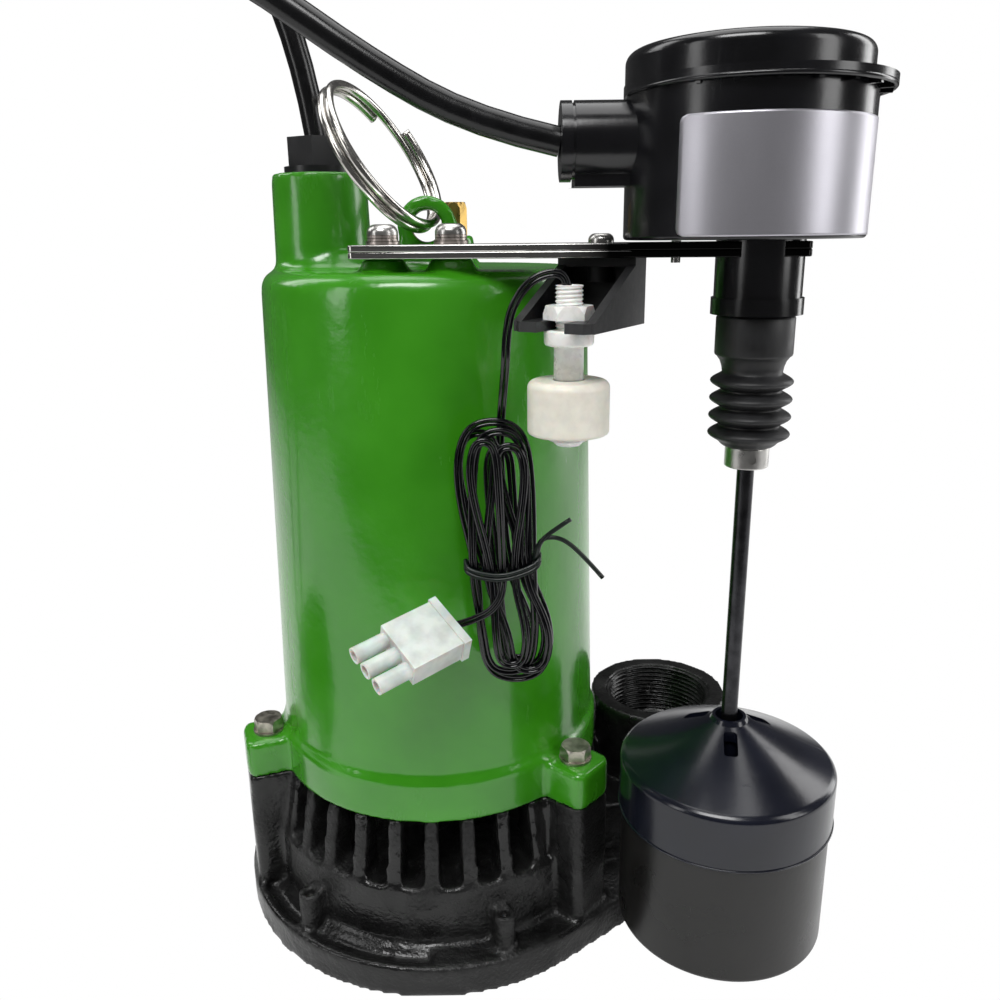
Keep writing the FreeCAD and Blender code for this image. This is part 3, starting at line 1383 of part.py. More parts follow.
def twist_tie():
    """A flat band round the waist of the hank, with its two ends twisted out to the right."""
    left = "waist_x - waist_half - lead_wide / 2 - 0.15"
    right = "waist_x + waist_half + lead_wide / 2 + 0.15"
    near = "layer_back - layer_step - lead_wide / 2 - 0.15"
    far = "layer_back + lead_wide / 2 + 0.15"
    inside = plate([(left, near), (right, near), (right, far), (left, far)], "waist_z - 3", "waist_z + 3")
    outside = plate(
        [(f"{left} - 1.2", f"{near} - 1.2"), (f"{right} + 1.2", f"{near} - 1.2"),
         (f"{right} + 1.2", f"{far} + 1.2"), (f"{left} - 1.2", f"{far} + 1.2")],
        "waist_z - 1.4", "waist_z + 1.4",
    )
    stem = Vector(size(right) + 0.4, size(near), size("waist_z"))
    knot = Vector(stem.x + 1.2, stem.y - 1.5, stem.z + 14)
    ends = doc.addObject("Part::Feature", "ends")
    ways = [knot + Vector(10.8, 0, 7), knot + Vector(9.6, 0, -2.6), knot + Vector(23.5, 0, -15.3)]
    shape = round_tube([Part.LineSegment(stem, knot).toShape()], 1.8)
    for start, end in ((knot, ways[0]), (knot, ways[1]), (ways[1], ways[2])):
        shape = shape.fuse(round_tube([Part.LineSegment(start, end).toShape()], 1.3))
        shape = shape.fuse(Part.makeSphere(0.9, start))
    ends.Shape = shape
    piece(fuse(cut(outside, inside), ends), "twist_tie")


def connector():
    """A white nylon plug of three ways that hangs on the end of the lead."""
    block = Part.makeBox(20, 9.4, 21, Vector(-23, -4.7, -10.5))
    block = block.fuse(Part.makeBox(3, 10.6, 22.4, Vector(-3, -5.3, -11.2)))
    for row in (-7.2, 0, 7.2):
        block = block.fuse(Part.makeCylinder(3.0, 13.5, Vector(-35.5, 0, row), Vector(1, 0, 0)))
        block = block.cut(Part.makeCylinder(2.1, 10, Vector(-36.5, 0, row), Vector(1, 0, 0)))
    block = block.fuse(Part.makeBox(12, 2, 6, Vector(-20, -6.6, -3)))
    shape = block.removeSplitter()
    along = Vector(0.79, 0.585, 0.177)
    row_way = Vector(0.593, -0.665, -0.449)
    turn = Rotation(along, row_way.cross(along), row_way, "XZY")
    holder = doc.addObject("Part::Feature", "connector")
    shape.Placement = Placement(Vector(*LEAD_END) - along * 1.05, turn)
    holder.Shape = shape
    piece(holder, "connector")


for build in (
    motor_housing, volute_base, bottom_plate, housing_bolts, gland, oil_plug, motor_inside, seal_plate,
    spring_and_impeller, strap, strap_fasteners, alarm_bracket, alarm_switch, switch_case, switch_tube,
    push_rod, main_float, snap_switch, lift_ring, mains_cords, alarm_lead, twist_tie, connector,
):
    build()

doc.recompute()
faults = [o.Label for o in doc.Objects if {"Invalid", "Error"} & set(o.State)]
for thing in PIECES:
    shape = thing.Shape
    if shape.isNull() or not shape.isValid() or not shape.Solids:
        faults.append(thing.Label)
if faults:
    raise RuntimeError("these objects failed: " + ", ".join(faults))
os.makedirs("parts", exist_ok=True)
for thing in PIECES:
    thing.Shape.exportStep(f"parts/{thing.Label}.step")
print(len(PIECES), "sub-parts written")
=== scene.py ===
import math
import bmesh
import bpy
import numpy as np
from mathutils import Matrix, Vector


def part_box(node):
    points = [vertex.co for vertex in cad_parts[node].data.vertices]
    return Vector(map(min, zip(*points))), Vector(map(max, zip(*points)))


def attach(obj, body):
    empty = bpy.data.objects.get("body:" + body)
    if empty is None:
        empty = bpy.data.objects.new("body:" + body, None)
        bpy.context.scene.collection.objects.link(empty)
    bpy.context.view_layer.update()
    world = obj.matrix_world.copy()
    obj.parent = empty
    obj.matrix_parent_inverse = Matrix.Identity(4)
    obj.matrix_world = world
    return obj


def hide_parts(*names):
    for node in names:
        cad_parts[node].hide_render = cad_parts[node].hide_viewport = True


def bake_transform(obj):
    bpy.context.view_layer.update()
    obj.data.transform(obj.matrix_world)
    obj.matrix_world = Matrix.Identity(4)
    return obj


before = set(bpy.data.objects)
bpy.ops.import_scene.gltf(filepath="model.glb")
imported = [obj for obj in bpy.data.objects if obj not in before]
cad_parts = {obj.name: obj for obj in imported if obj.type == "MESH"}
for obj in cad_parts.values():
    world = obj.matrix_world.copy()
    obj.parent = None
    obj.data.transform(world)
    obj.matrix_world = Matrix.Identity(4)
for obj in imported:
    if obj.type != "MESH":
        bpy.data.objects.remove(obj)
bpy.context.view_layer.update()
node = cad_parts
scene = bpy.context.scene
scene.view_settings.view_transform = "Standard"

# The place of the photograph. A pump on a white sweep, seen from a little above its strap,
# with the lens a touch over normal and the frame rolled by under a degree.
eye = Vector((0.0287, -0.3745, 0.2873))
sensor_width = 36
lens_ratio = 0.9041
look_down = math.radians(16.4)
roll = math.radians(-0.7)
ahead = Vector((0, math.cos(look_down), -math.sin(look_down)))
level = Vector((1, 0, 0))
rise = Vector((0, math.sin(look_down), math.cos(look_down)))
right = level * math.cos(roll) + rise * math.sin(roll)
upward = rise * math.cos(roll) - level * math.sin(roll)
lens = bpy.data.cameras.new("photo_camera")
lens.sensor_width = sensor_width
lens.lens = sensor_width * lens_ratio
lens.clip_start = 0.01
camera = bpy.data.objects.new("photo_camera", lens)
camera.matrix_world = Matrix((right, upward, -ahead)).transposed().to_4x4()
camera.location = eye
scene.collection.objects.link(camera)
scene.camera = camera

# The studio. A dim even light, lamps round the pump, and a white floor that ends just in front of it,
# because the upright walls would mirror more of it as a grey veil.
ambient_light = 0.08
floor_size, floor_middle = 2.6, 0.86
lamp_aim = (0.03, 0, 0.17)


def seen_as_white(tree, plain, output):
    """White where the camera sees it straight or through clear plastic, and the plain shader elsewhere."""
    glow = tree.nodes.new("ShaderNodeEmission")
    path = tree.nodes.new("ShaderNodeLightPath")
    seen = tree.nodes.new("ShaderNodeMath")
    seen.operation = "MAXIMUM"
    tree.links.new(path.outputs["Is Camera Ray"], seen.inputs[0])
    tree.links.new(path.outputs["Is Transmission Ray"], seen.inputs[1])
    choose = tree.nodes.new("ShaderNodeMixShader")
    tree.links.new(seen.outputs[0], choose.inputs[0])
    tree.links.new(plain.outputs[0], choose.inputs[1])
    tree.links.new(glow.outputs[0], choose.inputs[2])
    tree.links.new(choose.outputs[0], output.inputs["Surface"])


world = bpy.data.worlds.new("studio")
scene.world = world
world.use_nodes = True
ambient = world.node_tree.nodes["Background"]
ambient.inputs["Color"].default_value = (1, 1, 1, 1)
ambient.inputs["Strength"].default_value = ambient_light
seen_as_white(world.node_tree, ambient, world.node_tree.nodes["World Output"])

bpy.ops.mesh.primitive_plane_add(size=floor_size, location=(0, floor_middle, 0))
floor = bpy.context.object
floor.name = "white_sweep"
sweep = bpy.data.materials.new("white_sweep")
sweep.use_nodes = True
sweep_shade = sweep.node_tree.nodes["Principled BSDF"]
sweep_shade.inputs["Base Color"].default_value = (0.9, 0.9, 0.9, 1)
sweep_shade.inputs["Roughness"].default_value = 0.85
seen_as_white(sweep.node_tree, sweep_shade, sweep.node_tree.nodes["Material Output"])
floor.data.materials.append(sweep)


def softbox(name, spot, width, height, power):
    """A rectangular studio lamp at spot that points at the pump."""
    lamp = bpy.data.lights.new(name, "AREA")
    lamp.shape = "RECTANGLE"
    lamp.size = width
    lamp.size_y = height
    lamp.energy = power
    holder = bpy.data.objects.new(name, lamp)
    holder.location = spot
    holder.rotation_euler = (Vector(lamp_aim) - Vector(spot)).to_track_quat("-Z", "Y").to_euler()
    scene.collection.objects.link(holder)


softbox("left_high", (-0.9, 0.3, 1.0), 0.35, 0.8, 4)
softbox("right_back", (1.15, 0.4, 0.5), 0.35, 1.2, 6)
softbox("front_left", (-0.95, -0.65, 0.55), 0.25, 0.7, 2)
softbox("front_right", (1.0, -0.6, 0.6), 0.35, 0.8, 4)
softbox("front_top", (-0.2, -0.8, 1.25), 0.7, 0.4, 12)
softbox("top_panel", (0.05, 0.15, 1.35), 1.0, 1.0, 9)

# Both mains cords. Black round rubber-like cords of 9.2 mm that leave the gland and the switch,
# arch out of view to the left and lie there as two neat coils with their plugs.
cord_wide = 0.0092
coil_centre = Vector((-0.305, -0.041, 0))
coil_outer = 0.066
coil_step = 0.0097
layer_gap = 0.00045
points_per_turn = 16
round_out = 1.013


def place(name, data):
    """An object at the origin, in the scene."""
    piece = bpy.data.objects.new(name, data)
    scene.collection.objects.link(piece)
    return piece


def start_material(name, colour, rough, metal=0.0, coat=0.0, specular=0.5):
    """A material with its shader's plain values set. Gives its node tree and its shader."""
    made = bpy.data.materials.new(name)
    made.use_nodes = True
    shader = made.node_tree.nodes["Principled BSDF"]
    shader.inputs["Base Color"].default_value = (*colour, 1)
    shader.inputs["Roughness"].default_value = rough
    shader.inputs["Metallic"].default_value = metal
    shader.inputs["Coat Weight"].default_value = coat
    shader.inputs["Specular IOR Level"].default_value = specular
    return made, made.node_tree, shader


def new_group(name, inputs, outputs):
    """An empty shader node group with its sockets."""
    group = bpy.data.node_groups.new(name, "ShaderNodeTree")
    for title, start in inputs:
        socket = group.interface.new_socket(title, in_out="INPUT", socket_type="NodeSocketFloat")
        socket.default_value = start
    for title in outputs:
        group.interface.new_socket(title, in_out="OUTPUT", socket_type="NodeSocketFloat")
    return group, group.nodes.new("NodeGroupInput"), group.nodes.new("NodeGroupOutput")


def object_place(tree):
    """The place on the object, in its own metres."""
    return tree.nodes.new("ShaderNodeTexCoord").outputs["Object"]


def axis_of(tree, spot, axis):
    """One coordinate of a place."""
    axes = tree.nodes.new("ShaderNodeSeparateXYZ")
    tree.links.new(spot, axes.inputs[0])
    return axes.outputs[axis]


def noise(tree, spot, scale=None, detail=2.0, rough=0.5):
    """A noise texture over a place."""
    texture = tree.nodes.new("ShaderNodeTexNoise")
    texture.inputs["Detail"].default_value = detail
    texture.inputs["Roughness"].default_value = rough
    tree.links.new(spot, texture.inputs["Vector"])
    if scale is not None:
        texture.inputs["Scale"].default_value = scale
    return texture


def number(tree, operation, *values):
    """A math node. A value is a number or a socket."""
    sums = tree.nodes.new("ShaderNodeMath")
    sums.operation = operation
    for slot, value in zip(sums.inputs, values):
        if isinstance(value, (int, float)):
            slot.default_value = value
        else:
            tree.links.new(value, slot)
    return sums.outputs[0]


def spread(tree, value, low, high, to_low=0.0, to_high=1.0):
    """Maps a value from one range to another, held at the ends."""
    ranged = tree.nodes.new("ShaderNodeMapRange")
    ranged.inputs["From Min"].default_value = low
    ranged.inputs["From Max"].default_value = high
    ranged.inputs["To Min"].default_value = to_low
    ranged.inputs["To Max"].default_value = to_high
    tree.links.new(value, ranged.inputs["Value"])
    return ranged.outputs[0]


# The skin group gives coarse and fine unevenness, and the marks group gives fine rubbed scuffs.
skin_inputs = [("Coarse", 60.0), ("Fine", 400.0), ("Mix", 0.4)]
skin, given, out = new_group("uneven_skin", skin_inputs, ["Height", "Tone"])
here = object_place(skin)
coarse = noise(skin, here, detail=3)
fine = noise(skin, here, detail=2)
skin.links.new(given.outputs["Coarse"], coarse.inputs["Scale"])
skin.links.new(given.outputs["Fine"], fine.inputs["Scale"])
blended = skin.nodes.new("ShaderNodeMix")
skin.links.new(given.outputs["Mix"], blended.inputs["Factor"])
skin.links.new(coarse.outputs["Fac"], blended.inputs["A"])
skin.links.new(fine.outputs["Fac"], blended.inputs["B"])
skin.links.new(blended.outputs["Result"], out.inputs["Height"])
skin.links.new(spread(skin, coarse.outputs["Fac"], 0.35, 0.65), out.inputs["Tone"])

marks, given, out = new_group("rubbed_marks", [("Size", 90.0), ("Amount", 0.5)], ["Mark"])
here = object_place(marks)
stretch = marks.nodes.new("ShaderNodeMapping")
stretch.inputs["Scale"].default_value = (1, 3.2, 0.35)
stretch.inputs["Rotation"].default_value = (0.4, 0.7, 0.2)
marks.links.new(here, stretch.inputs["Vector"])
streak = noise(marks, stretch.outputs[0], detail=5, rough=0.7)
marks.links.new(given.outputs["Size"], streak.inputs["Scale"])
patch = noise(marks, here, scale=24, detail=2)
streaks = spread(marks, streak.outputs["Fac"], 0.56, 0.7)
patches = spread(marks, patch.outputs["Fac"], 0.45, 0.62)
both = number(marks, "MULTIPLY", streaks, patches)
marks.links.new(number(marks, "MULTIPLY", both, given.outputs["Amount"]), out.inputs["Mark"])


def use_group(tree, group, **values):
    """A node group in a material, with its values set."""
    placed = tree.nodes.new("ShaderNodeGroup")
    placed.node_tree = group
    for title, value in values.items():
        placed.inputs[title].default_value = value
    return placed


def tint(tree, shader, factor, low, high):
    """Base colour that runs from low to high with a factor."""
    mixed = tree.nodes.new("ShaderNodeMix")
    mixed.data_type = "RGBA"
    tree.links.new(factor, mixed.inputs["Factor"])
    mixed.inputs["A"].default_value = (*low, 1)
    mixed.inputs["B"].default_value = (*high, 1)
    tree.links.new(mixed.outputs["Result"], shader.inputs["Base Color"])
    return mixed


def raise_surface(tree, shader, height, depth):
    """Feeds a height, depth metres times a 0 to 1 value, to the shader's normal."""
    bump = tree.nodes.new("ShaderNodeBump")
    bump.inputs["Strength"].default_value = 1.0
    bump.inputs["Distance"].default_value = depth
    tree.links.new(height, bump.inputs["Height"])
    tree.links.new(bump.outputs["Normal"], shader.inputs["Normal"])


def plain_finish(name, colour, rough, metal=0.0, coarse=90.0, fine=900.0, depth=0.00004, tone=0.25, wear=0.3,
                 specular=0.5):
    """A finish with slight tone changes, rubbed marks and a fine uneven surface."""
    made, tree, shader = start_material(name, colour, rough, metal=metal, specular=specular)
    surface = use_group(tree, skin, Coarse=coarse, Fine=fine, Mix=0.5)
    darker = [c * (1 - tone) for c in colour]
    lighter = [min(c * (1 + tone), 1) for c in colour]
    tint(tree, shader, surface.outputs["Tone"], darker, lighter)
    rubbed = use_group(tree, marks, Size=140.0, Amount=wear)
    base = spread(tree, surface.outputs["Tone"], 0, 1, rough * 0.88, min(rough * 1.12, 1))
    worn = number(tree, "ADD", base, number(tree, "MULTIPLY", rubbed.outputs["Mark"], 0.25))
    tree.links.new(worn, shader.inputs["Roughness"])
    raise_surface(tree, shader, surface.outputs["Height"], depth)
    return made


def give(name, finish):
    """A CAD node takes a finish in all its slots."""
    mesh = node[name].data
    mesh.materials.clear()
    mesh.materials.append(finish)


def let_light_in(finish, weight, reach):
    """Lets light into a milky plastic."""
    shader = finish.node_tree.nodes["Principled BSDF"]
    shader.inputs["Subsurface Weight"].default_value = weight
    shader.inputs["Subsurface Scale"].default_value = reach


def nurbs(name, points, wide, finish, resolution=4, sides=6):
    """A round tube on one smooth spline, with the points as its control points."""
    line = bpy.data.curves.new(name, "CURVE")
    line.dimensions = "3D"
    spline = line.splines.new("NURBS")
    spline.points.add(len(points) - 1)
    for control, spot in zip(spline.points, points):
        control.co = (*spot, 1)
    spline.order_u = 3
    spline.use_endpoint_u = True
    line.resolution_u = resolution
    line.bevel_depth = wide / 2
    line.bevel_resolution = sides
    line.use_fill_caps = True
    line.materials.append(finish)
    return place(name, line)


cord_skin = plain_finish("cord_jacket", (0.004, 0.004, 0.0045), 0.24, coarse=120, fine=1500, depth=0.00003,
                         tone=0.3, specular=0.4)


def coil_points(quarters, low):
    """Winds in on the upper layer, drops, and winds out on the lower one."""
    upper = low + cord_wide * 1.5 + layer_gap
    lower = low + cord_wide / 2
    count = quarters * points_per_turn // 4
    points = []
    for i in range(count + 1):
        quarter = 4 * i / points_per_turn
        radius = (coil_outer - coil_step * min(quarter, quarters - quarter) / 4) * round_out
        fall = min(max((quarter - quarters / 2 + 1) / 2, 0), 1)
        height = upper + (lower - upper) * fall * fall * (3 - 2 * fall)
        angle = math.radians(90 + 90 * quarter)
        points.append(coil_centre + Vector((radius * math.cos(angle), radius * math.sin(angle), height)))
    return points


def mains_cord(name, outlet, stretch, quarters, low, end, nodes):
    """One cord: its stretch from the outlet, its coil, and the end that goes to its plug."""
    points = [outlet + Vector(step) / 1000 for step in stretch]
    turns = coil_points(quarters, low)
    last = turns[-1]
    points += turns + [last + Vector(step) / 1000 for step in end]
    flex = nurbs(name, points, cord_wide, cord_skin)
    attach(flex, "pump")
    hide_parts(*nodes)


pump_stretch = [
    (0, 0, 0), (-3.2, 0, 27), (-17.5, 2, 66), (-50, 4, 96), (-104, 6, 100), (-158, 10, 73), (-188, 16, 16),
    (-190.7, 24, -62), (-190.7, 32, -134), (-190.7, 38, -204), (-190.7, 38, -275.2), (-221.7, 24, -309.2),
]
switch_stretch = [
    (0, 0, 0), (-27, 0, 6), (-59, 0, 23), (-99, 2, 50.5), (-147, 8, 75), (-199, 18, 75), (-244, 28, 40),
    (-270, 40, -26), (-280, 54, -96), (-280, 64, -150), (-280, 72, -198), (-280, 78.8, -246),
    (-311, 92.8, -281),
]
pump_outlet = Vector((-0.0403, 0, 0.3236))
switch_outlet = Vector((0.049, -0.0688, 0.3149))
pump_end = [(0, 66, 0), (-33, 99, 4), (-79, 99, 4)]
switch_end = [(23, 0, 0), (64, 0, -15.4), (79, 20, -15.4)]
pump_quarters, switch_quarters = 19, 18
coil_lift = 0.0002
upper_coil_lift = coil_lift + 2 * cord_wide + 0.001
mains_cord("pump_flex", pump_outlet, pump_stretch, pump_quarters, coil_lift, pump_end,
           ["pump_cord", "pump_cord_coil"])
mains_cord("switch_flex", switch_outlet, switch_stretch, switch_quarters, upper_coil_lift, switch_end,
           ["switch_cord", "switch_cord_coil"])

# The plugs. Moulded black plastic with metal blades.
plug_plastic = plain_finish("plug_plastic", (0.015, 0.015, 0.016), 0.45)
give("pump_plug", plug_plastic)
give("piggyback_plug", plug_plastic)

# The motor housing. One iron casting with neck, lifting lug, ears and strap pads, ground at the joint
# and painted a thick glossy green that rounds every inner corner.
wall_low = (0.0689, 0.0852)
wall_high = (0.0644, 0.275)
wall_zone = (0.0864, 0.2672)
rim_radius = 0.0706
rim_zone = (0.067, 0.0826)
top_level = 0.275
top_reach = 0.0575


def casting_copy(name, sources, voxel, rounds):
    """A copy of the CAD nodes of one casting with the soft inner corners and rounded edges of a real one."""
    mesh = bpy.data.meshes.new(name)
    work = bmesh.new()
    for source in sources:
        work.from_mesh(node[source].data)
    bmesh.ops.remove_doubles(work, verts=work.verts, dist=0.00001)
    work.to_mesh(mesh)
    work.free()
    piece = place(name, mesh)
    remesh = piece.modifiers.new("skin", "REMESH")
    remesh.mode = "VOXEL"
    remesh.voxel_size = voxel
    remesh.use_smooth_shade = True
    soften = piece.modifiers.new("soften", "SMOOTH")
    soften.factor = 0.5
    soften.iterations = rounds
    bpy.context.view_layer.update()
    done = bpy.data.meshes.new_from_object(piece.evaluated_get(bpy.context.evaluated_depsgraph_get()))
    done.name = name
    piece.modifiers.clear()
    piece.data = done
    return piece


def corners(mesh):
    """The places of a mesh's corners, one row each."""
    spots = np.zeros(len(mesh.vertices) * 3)
    mesh.vertices.foreach_get("co", spots)
    return spots.reshape(-1, 3)


def true_up(value, target, near, far):
    """Moves values back to a target where they are near it, and less and less where they aren't."""
    share = np.clip((far - abs(value - target)) / (far - near), 0, 1)
    share = share * share * (3 - 2 * share)
    return value + (target - value) * share


casting = casting_copy("housing_casting", ["motor_housing"], 0.0015, 8)
spots = corners(casting.data)
around = np.hypot(spots[:, 0], spots[:, 1])
up_wall = np.clip((spots[:, 2] - wall_low[1]) / (wall_high[1] - wall_low[1]), 0, 1)
wall = wall_low[0] + (wall_high[0] - wall_low[0]) * up_wall
on_wall = (spots[:, 2] > wall_zone[0]) & (spots[:, 2] < wall_zone[1])
on_rim = (spots[:, 2] > rim_zone[0]) & (spots[:, 2] < rim_zone[1])
fixed = np.where(on_wall, true_up(around, wall, 0.0004, 0.0011), around)
fixed = np.where(on_rim, true_up(around, rim_radius, 0.0004, 0.0011), fixed)
spots[:, 0] *= fixed / np.maximum(around, 1e-6)
spots[:, 1] *= fixed / np.maximum(around, 1e-6)
on_top = around < top_reach
spots[:, 2] = np.where(on_top, true_up(spots[:, 2], top_level, 0.0003, 0.0008), spots[:, 2])
casting.data.vertices.foreach_set("co", spots.ravel())

green, tree, shader = start_material("green_paint", (0.036, 0.245, 0.006), 0.2, coat=0.3)
shader.inputs["Coat Roughness"].default_value = 0.08
surface = use_group(tree, skin, Coarse=26.0, Fine=260.0, Mix=0.35)
here = object_place(tree)
tint(tree, shader, surface.outputs["Tone"], (0.031, 0.222, 0.005), (0.042, 0.270, 0.008))
rubbed = use_group(tree, marks, Size=70.0, Amount=0.25)
base = spread(tree, surface.outputs["Tone"], 0, 1, 0.17, 0.26)
tree.links.new(number(tree, "ADD", base, rubbed.outputs["Mark"]), shader.inputs["Roughness"])
pits = tree.nodes.new("ShaderNodeTexVoronoi")
pits.inputs["Scale"].default_value = 62
tree.links.new(here, pits.inputs["Vector"])
sparse = noise(tree, here, scale=31)
dimple = number(tree, "MULTIPLY", spread(tree, pits.outputs["Distance"], 0.05, 0.11, 1, 0),
                spread(tree, sparse.outputs["Fac"], 0.6, 0.64))
heights = number(tree, "SUBTRACT", surface.outputs["Height"], dimple)
raise_surface(tree, shader, heights, 0.00035)
casting.data.materials.clear()
casting.data.materials.append(green)
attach(casting, "pump")
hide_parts("motor_housing")

# The volute base. A rough black painted casting: round foot, ring of upright strainer ribs, ear columns
# and the upright discharge port with a cut pipe thread.
base_casting = casting_copy("volute_casting", ["volute_base", "volute_foot"], 0.0014, 2)
black, tree, shader = start_material("black_paint", (0.005, 0.005, 0.005), 0.3, specular=0.4)
surface = use_group(tree, skin, Coarse=150.0, Fine=700.0, Mix=0.4)
here = object_place(tree)
tint(tree, shader, surface.outputs["Tone"], (0.004, 0.004, 0.004), (0.010, 0.010, 0.010))
patches = noise(tree, here, scale=28, detail=4)
rough_here = spread(tree, patches.outputs["Fac"], 0.46, 0.6)
tree.links.new(spread(tree, rough_here, 0, 1, 0.22, 0.5), shader.inputs["Roughness"])
lumps = number(tree, "MULTIPLY", surface.outputs["Height"], spread(tree, rough_here, 0, 1, 0.35, 1.0))
raise_surface(tree, shader, lumps, 0.0012)
base_casting.data.materials.clear()
base_casting.data.materials.append(black)
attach(base_casting, "pump")
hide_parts("volute_base", "volute_foot")


def tidy_faces(mesh, merge=0.0):
    """Merges what lies closer than merge and turns all faces outward."""
    work = bmesh.new()
    work.from_mesh(mesh)
    if merge:
        bmesh.ops.remove_doubles(work, verts=work.verts, dist=merge)
    bmesh.ops.recalc_face_normals(work, faces=work.faces)
    work.to_mesh(mesh)
    work.free()


def lathe(name, profile, x, y, finish, steps, shape=None):
    """A closed turned piece. The profile runs once round its section.

    shape may change a radius by its height and angle.
    """
    mesh = bpy.data.meshes.new(name)
    verts = []
    for step in range(steps):
        angle = 2 * math.pi * step / steps
        for radius, z in profile:
            if shape:
                radius = shape(radius, z, angle)
            verts.append((x + radius * math.cos(angle), y + radius * math.sin(angle), z))
    count = len(profile)
    faces = []
    for step in range(steps):
        here, there = step * count, (step + 1) % steps * count
        for i in range(count):
            j = (i + 1) % count
            faces.append((here + i, there + i, there + j, here + j))
    mesh.from_pydata(verts, [], faces)
    tidy_faces(mesh, merge=0.000001)
    mesh.materials.append(finish)
    for face in mesh.polygons:
        face.use_smooth = True
    return place(name, mesh)


def thread_cut(root, crest, pitch):
    """Gives the radius of a cut thread between root and crest, by height and angle."""

    def shape(radius, z, angle):
        turn = (z / pitch - angle / (2 * math.pi)) % 1
        return crest + (root - crest) * min(1, max(0, 2.4 * abs(turn - 0.5) - 0.1))

    return shape


port = Vector((0.1036, 0.0196, 0.0757))
port_pitch = 0.0254 / 11.5
port_root, port_crest, port_back = 0.0241, 0.0228, 0.0247
thread_low, thread_long = port.z - 0.0248, 0.024
pipe_cut = thread_cut(port_root, port_crest, port_pitch)
rows = 84
inner = [(port_root, thread_low + thread_long * i / rows) for i in range(rows + 1)]
ring = inner + [(port_back, inner[-1][1]), (port_back, inner[0][1])]
threads = lathe("port_thread", ring, port.x, port.y, black, steps=120,
                shape=lambda r, z, a: r if r == port_back else pipe_cut(r, z, a))
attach(threads, "pump")

# Bottom plate and its screws, under the foot. Moulded black plate and stainless screws.
give("bottom_plate", plain_finish("plate_black", (0.02, 0.02, 0.02), 0.5))
stainless = plain_finish("stainless", (0.52, 0.51, 0.49), 0.3, metal=1.0, coarse=200, fine=2500,
                         depth=0.00002, tone=0.15, wear=0.8)
give("bottom_plate_screws", stainless)

# Housing bolts. Hex heads with flat washers, stainless and a little stained by use.
weathered = plain_finish("weathered_steel", (0.42, 0.39, 0.34), 0.38, metal=1.0, coarse=260, fine=1800,
                         depth=0.00005, tone=0.35, wear=1.0)
give("housing_bolts", weathered)

# Cord gland on the neck. Flange and hexagon nut of black plastic, and the rubber ring that grips the cord.
gland_black = plain_finish("gland_black", (0.006, 0.006, 0.007), 0.32)
give("gland_body", gland_black)
give("gland_nut", gland_black)
rubber = plain_finish("rubber", (0.016, 0.016, 0.017), 0.62, coarse=180, fine=1400, tone=0.3)
give("gland_grommet", rubber)

# Oil fill plug of brass.
give("oil_plug", plain_finish("brass", (0.50, 0.33, 0.10), 0.3, metal=1.0, coarse=150, tone=0.2, wear=0.7))

# The lifting ring. A split ring of just under two turns of stainless wire, which leans in the lug's eye.
ring_steel = plain_finish("ring_steel", (0.60, 0.58, 0.55), 0.2, metal=1.0, coarse=240, tone=0.1, wear=0.5)
ring_eye = Vector((0.002, -0.012, 0.2905))
ring_lean, ring_turn = math.radians(32.3), math.radians(16.5)
ring_round, ring_pitch, ring_wire = 0.0295, 0.0035, 0.0033
ring_start, ring_sweep = 0.43 * math.pi, 3.88 * math.pi
ring_steps = 260
out_way = Vector((-math.sin(ring_lean), 0, math.cos(ring_lean)))
level_way = Vector((math.cos(ring_lean), 0, math.sin(ring_lean)))
side_way = Vector((0, math.cos(ring_turn), 0)) + level_way * math.sin(ring_turn)


def headings(line):
    """The direction of a line at each of its points."""
    last = len(line) - 1
    return [(line[min(i + 1, last)] - line[max(i - 1, 0)]).normalized() for i in range(len(line))]


def round_wires(name, lines, radius, sides, finish):
    """One mesh of round wires with closed ends, each along its own line."""
    verts, faces = [], []
    for line in lines:
        first = len(verts)
        for spot, tangent in zip(line, headings(line)):
            across = tangent.cross(Vector((0, 1, 0))).normalized()
            away = across.cross(tangent).normalized()
            for side in range(sides):
                angle = 2 * math.pi * side / sides
                verts.append(spot + (across * math.cos(angle) + away * math.sin(angle)) * radius)
        for i in range(len(line) - 1):
            for side in range(sides):
                a = first + i * sides
                b = a + sides
                after = (side + 1) % sides
                faces.append((a + side, b + side, b + after, a + after))
        faces.append(tuple(first + side for side in range(sides)))
        faces.append(tuple(len(verts) - 1 - side for side in range(sides)))
    mesh = bpy.data.meshes.new(name)
    mesh.from_pydata(verts, [], faces)
    tidy_faces(mesh)
    for face in mesh.polygons:
        face.use_smooth = len(face.vertices) == 4
    mesh.materials.append(finish)
    return place(name, mesh)


ring_line = []
for i in range(ring_steps + 1):
    angle = ring_start + ring_sweep * i / ring_steps
    shift = ring_pitch * ring_sweep / (2 * math.pi) * (i / ring_steps - 0.5)
    spoke = out_way * (1 + math.cos(angle)) + side_way * math.sin(angle)
    ring_line.append(ring_eye + spoke * ring_round + out_way.cross(side_way) * shift)
split_ring = round_wires("split_ring", [ring_line], ring_wire / 2, 16, ring_steel)
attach(split_ring, "lift_ring")
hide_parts("lift_ring")

